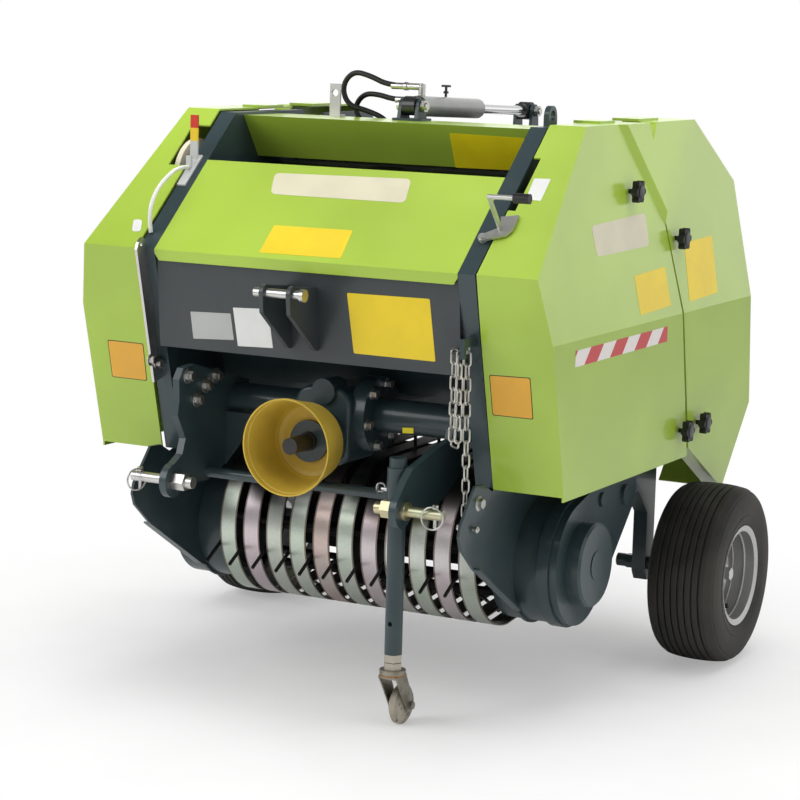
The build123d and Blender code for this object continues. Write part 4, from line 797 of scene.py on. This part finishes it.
# bolts and nuts
flange = {"x": 0.092, "y": seam - 0.525, "z": 0.607, "radius": 0.066, "bolts": 6, "turn": 12}
flangeTurns = [math.radians(360 / flange["bolts"] * k + flange["turn"]) for k in range(flange["bolts"])]
flangePlaces = [(flange["x"], flange["y"] + flange["radius"] * math.cos(a),
                 flange["z"] + flange["radius"] * math.sin(a)) for a in flangeTurns]
armRow = ((-0.726, 0.680), (-0.690, 0.626), (-0.616, 0.668), (-0.655, 0.652))
armPlaces = [(-0.262, seam + y, z) for y, z in armRow]
leverPlaces = [(-0.377, seam + y, z) for y, z in ((-0.694, 0.700), (-0.668, 0.690))]
pickupPlace = (0.390, seam - 0.662, 0.474)
wheelNutX = 0.624
boltSets = {                      # size: across flats, height of the head and the washer's radius
    "armBolts": {"size": (0.019, 0.011, 0.017), "body": "root", "at": [(1, place) for place in armPlaces]},
    "gearboxBolts": {"size": (0.0178, 0.0108, 0.0125), "body": "root",
                     "at": [(1, place) for place in flangePlaces]},
    "leverBolts": {"size": (0.016, 0.010, 0.013), "body": "root",
                   "at": [(1, place) for place in leverPlaces]},
    "pickupBolts": {"size": (0.019, 0.009, 0.016), "body": "root",
                    "at": [(side, (side * pickupPlace[0], *pickupPlace[1:])) for side in sides.values()]},
}
for sideName, side in sides.items():
    boltSets["wheelNuts_" + sideName] = {
        "size": (0.026, 0.013, 0.021), "body": "wheel_" + sideName,
        "at": [(side, (side * wheelNutX, wheel["axleY"], wheel["radius"]))]}
for setName, bolts in boltSets.items():
    group = copies(hexBolt(*bolts["size"]), [facing((side, 0, 0), place) for side, place in bolts["at"]])
    settle(group, setName, "silverZinc", bolts["body"])
print("bolts set")


# round pieces: pins with softened ends and wire rings
def softRod(radius, length, where, normal, soft=0.0008):
    clearPick()
    bpy.ops.mesh.primitive_cylinder_add(vertices=32, radius=radius, depth=length)
    made = bpy.context.object
    pickFaces(made, lambda face: abs(face.normal.z) > 0.9)
    bpy.ops.object.mode_set(mode="EDIT")
    bpy.ops.mesh.select_mode(type="FACE")
    bpy.ops.mesh.bevel(offset=soft, segments=3)
    bpy.ops.object.mode_set(mode="OBJECT")
    made.data.transform(facing(normal, where))
    return made


def wireRing(radius, wire, where, normal):
    clearPick()
    bpy.ops.mesh.primitive_torus_add(major_radius=radius, minor_radius=wire, major_segments=48,
                                     minor_segments=12)
    made = bpy.context.object
    made.data.transform(facing(normal, where))
    return made


linch = {"x": 0.348, "y": seam - 0.772, "radius": 0.0034, "low": 0.437, "high": 0.484, "ring": 0.0225,
         "wire": 0.0019, "ringZ": 0.459, "ringAhead": 0.0135, "headLength": 0.008,
         "ringFacing": {"right": (0.1, -1, 0), "left": (0.9, -0.42, 0)}}
for sideName, side in sides.items():
    x, y, radius, low, high = side * linch["x"], linch["y"], linch["radius"], linch["low"], linch["high"]
    ringPlace = (x, y - linch["ringAhead"], linch["ringZ"])
    pieces = [softRod(radius, high - low, (x, y, (low + high) / 2), (0, 0, 1)),
              softRod(radius * 2, linch["headLength"], (x, y, high - linch["headLength"] / 2), (0, 0, 1)),
              wireRing(linch["ring"], linch["wire"], ringPlace, linch["ringFacing"][sideName])]
    settle(joined(pieces), "linchPin_" + sideName, "silverZinc", "root", 40)

hoseEnds = {"radius": 0.0074, "length": 0.040, "inner": -0.0345, "nut": 0.0092, "nutLength": 0.009,
            "nutX": -0.0385}
pieces = []
for hoseName in ("hose_long", "hose_short"):
    _, y, z = cordRoutes[hoseName]["points"][0]
    middleX = hoseEnds["inner"] - hoseEnds["length"] / 2
    pieces.append(softRod(hoseEnds["radius"], hoseEnds["length"], (middleX, y, z), (1, 0, 0)))
    pieces.append(softRod(hoseEnds["nut"], hoseEnds["nutLength"], (hoseEnds["nutX"], y, z), (1, 0, 0)))
settle(joined(pieces), "hoseSleeves", "silverZinc", "cylinder_barrel", 40)

jackPin = {"x": 0.206, "y": seam - 0.727, "z": 0.493, "radius": 0.0045, "length": 0.026, "ring": 0.0085,
           "wire": 0.0021}
x, y, z = jackPin["x"], jackPin["y"], jackPin["z"]
pieces = [softRod(jackPin["radius"], jackPin["length"], (x + 0.004, y, z), (1, 0, 0)),
          wireRing(jackPin["ring"], jackPin["wire"], (x - 0.002, y - 0.004, z + 0.004), (0.5, -1, 0.2))]
settle(joined(pieces), "jackPin", "silverZinc", "root", 40)

shackle = {"y": seam - 0.6831, "z": 0.4249,      # each rod: radius, length, x and how soft it ends
           "rods": ((0.0042, 0.048, 0.379, 0.0008), (0.0072, 0.007, 0.358, 0.0018),
                    (0.0072, 0.006, 0.398, 0.0018))}
pieces = [softRod(radius, length, (x, shackle["y"], shackle["z"]), (1, 0, 0), soft)
          for radius, length, x, soft in shackle["rods"]]
settle(joined(pieces), "chainShackle", "silverZinc", "root", 40)
print("pins made")


# knob centres
knobCentre = {"radius": 0.0135, "thick": 0.003, "proud": 0.0006, "soft": 0.0011,
              "root": ((0.5318, -0.214, 1.084), (0.581, 0.015, 0.546)),
              "tailgate": ((0.5519, 0.015, 0.971), (0.581, 0.122, 0.550))}
for body in ("root", "tailgate"):
    pieces = []
    for x, y, z in knobCentre[body]:
        for side in sides.values():
            place = (side * (x + knobCentre["proud"]), seam + y, z)
            pieces.append(softRod(knobCentre["radius"], knobCentre["thick"], place, (side, 0, 0),
                                  knobCentre["soft"]))
    settle(joined(pieces), "knobCentres_" + body, "knobGrey", body)
print("knob centres made")


# valves, hub plates and rim beads
valve = {"back": 0.022, "tilt": 0.12,      # each rod: radius, length, x, height from the axle, softness
         "stem": (0.0045, 0.034, 0.606, -0.083, 0.0008), "cap": (0.0056, 0.011, 0.622, -0.081, 0.0015)}
hubPlate = {"radius": 0.030, "thick": 0.003, "out": 0.0218, "soft": 0.001}
rimBeads = ((0.1005, 0.0032, 0.048),       # each bead: radius, wire and how far out from the wheel's centre
            (0.1005, 0.0024, 0.020), (0.0665, 0.0022, 0.0195))
for sideName, side in sides.items():
    body = "wheel_" + sideName
    pieces = []
    for radius, length, x, up, soft in (valve["stem"], valve["cap"]):
        place = (side * x, wheel["axleY"] + valve["back"], wheel["radius"] + up)
        pieces.append(softRod(radius, length, place, (side, 0, valve["tilt"]), soft))
    settle(joined(pieces), "tyreValve_" + sideName, "blackPlastic", body)
    place = (side * (wheel["centre"] + hubPlate["out"]), wheel["axleY"], wheel["radius"])
    plate = softRod(hubPlate["radius"], hubPlate["thick"], place, (side, 0, 0), hubPlate["soft"])
    settle(plate, "hubPlate_" + sideName, "silverZinc", body)
    beads = []
    for radius, wire, out in rimBeads:
        place = (side * (wheel["centre"] + out), wheel["axleY"], wheel["radius"])
        beads.append(wireRing(radius, wire, place, (side, 0, 0)))
    settle(joined(beads), "rimBeads_" + sideName, "rimSilver", body, 40)
print("wheels finished")


# floor, light and surroundings
lightSetup = {"worldSeen": 1.0, "worldLight": 0.46, "glossBack": 1.25, "glossFront": 0.34, "glossUp": 0.12,
              "floorTone": (246, 246, 246), "floorShade": (238, 238, 238), "fadeLeast": 0.3, "fadeFrom": 0.45,
              "fadeTo": 1.7, "aim": (0, 0, 0.6)}
softboxes = {                     # place, width, watts and whether gloss mirrors it
    "key": ((-2.9, -3.6, 3.2), 3.0, 98.0, True),
    "side": ((4.6, -0.6, 2.6), 3.0, 26.0, True),
    "top": ((0.2, 0.2, 4.6), 4.2, 150.0, False),
}
clearPick()
bpy.ops.mesh.primitive_plane_add(size=60, location=(0, 0, 0))
floor = bpy.context.object
floor.name = "paleFloor"
floorFinish = Finish("paleFloor", Roughness=0.85)
distance = floorFinish.node("ShaderNodeVectorMath", {0: floorFinish.place}, output=1, operation="LENGTH")
fade = distance.ramp(lightSetup["fadeFrom"], lightSetup["fadeTo"])
fade = fade * (1 - lightSetup["fadeLeast"]) + lightSetup["fadeLeast"]
cloudy = floorFinish.noise(3.0).ramp(0.3, 0.8)
floorFinish.done(floorFinish.blend(cloudy, tone(*lightSetup["floorTone"]), tone(*lightSetup["floorShade"])))
bright = floorFinish.node("ShaderNodeEmission", {"Color": (1, 1, 1, 1), "Strength": lightSetup["worldSeen"]})
toCamera = floorFinish.node("ShaderNodeLightPath", output="Is Camera Ray")
plain = Wire(floorFinish, floorFinish.shader.outputs[0])
mixed = floorFinish.node("ShaderNodeMixShader", {0: fade * toCamera, 1: plain, 2: bright})
floorFinish.tree.links.new(mixed.socket, floorFinish.tree.nodes["Material Output"].inputs["Surface"])
floor.data.materials.append(floorFinish.material)

world = bpy.data.worlds.new("studio")
bpy.context.scene.world = world
world.use_nodes = True
sky = world.node_tree
path = sky.nodes.new("ShaderNodeLightPath")
shine = sky.nodes.new("ShaderNodeMath")
shine.operation = "MAXIMUM"
sky.links.new(path.outputs["Is Camera Ray"], shine.inputs[0])
sky.links.new(path.outputs["Is Glossy Ray"], shine.inputs[1])
power = sky.nodes.new("ShaderNodeMapRange")
sky.links.new(shine.outputs[0], power.inputs[0])
power.inputs[3].default_value = lightSetup["worldLight"]
where = sky.nodes.new("ShaderNodeTexCoord")
split = sky.nodes.new("ShaderNodeSeparateXYZ")
sky.links.new(where.outputs["Generated"], split.inputs[0])


def skyRange(source, *bounds):    # from low, from high, to low, to high
    made = sky.nodes.new("ShaderNodeMapRange")
    sky.links.new(source, made.inputs[0])
    for k, value in enumerate(bounds):
        if isinstance(value, float):
            made.inputs[k + 1].default_value = value
        else:
            sky.links.new(value, made.inputs[k + 1])
    return made.outputs[0]


# what metal and gloss see: a bright wall behind the machine, dimmer in front and overhead
along = skyRange(split.outputs["Y"], -0.3, 0.5, lightSetup["glossFront"], lightSetup["glossBack"])
gloss = skyRange(split.outputs["Z"], 0.15, 0.7, along, lightSetup["glossUp"])
seen = skyRange(path.outputs["Is Camera Ray"], 0.0, 1.0, gloss, lightSetup["worldSeen"])
sky.links.new(seen, power.inputs[4])
backdrop = sky.nodes["Background"]
backdrop.inputs["Color"].default_value = (1, 1, 1, 1)
sky.links.new(power.outputs[0], backdrop.inputs["Strength"])

for boxName, (place, size, watts, mirrored) in softboxes.items():
    lamp = bpy.data.lights.new(boxName + "Softbox", "AREA")
    lamp.shape = "SQUARE"
    lamp.size = size
    lamp.energy = watts
    holder = bpy.data.objects.new(boxName + "Softbox", lamp)
    holder.location = place
    holder.rotation_euler = (Vector(lightSetup["aim"]) - Vector(place)).to_track_quat("-Z", "Y").to_euler()
    holder.visible_glossy = mirrored
    bpy.context.scene.collection.objects.link(holder)
bpy.context.scene.view_settings.view_transform = "Standard"
print("light set")
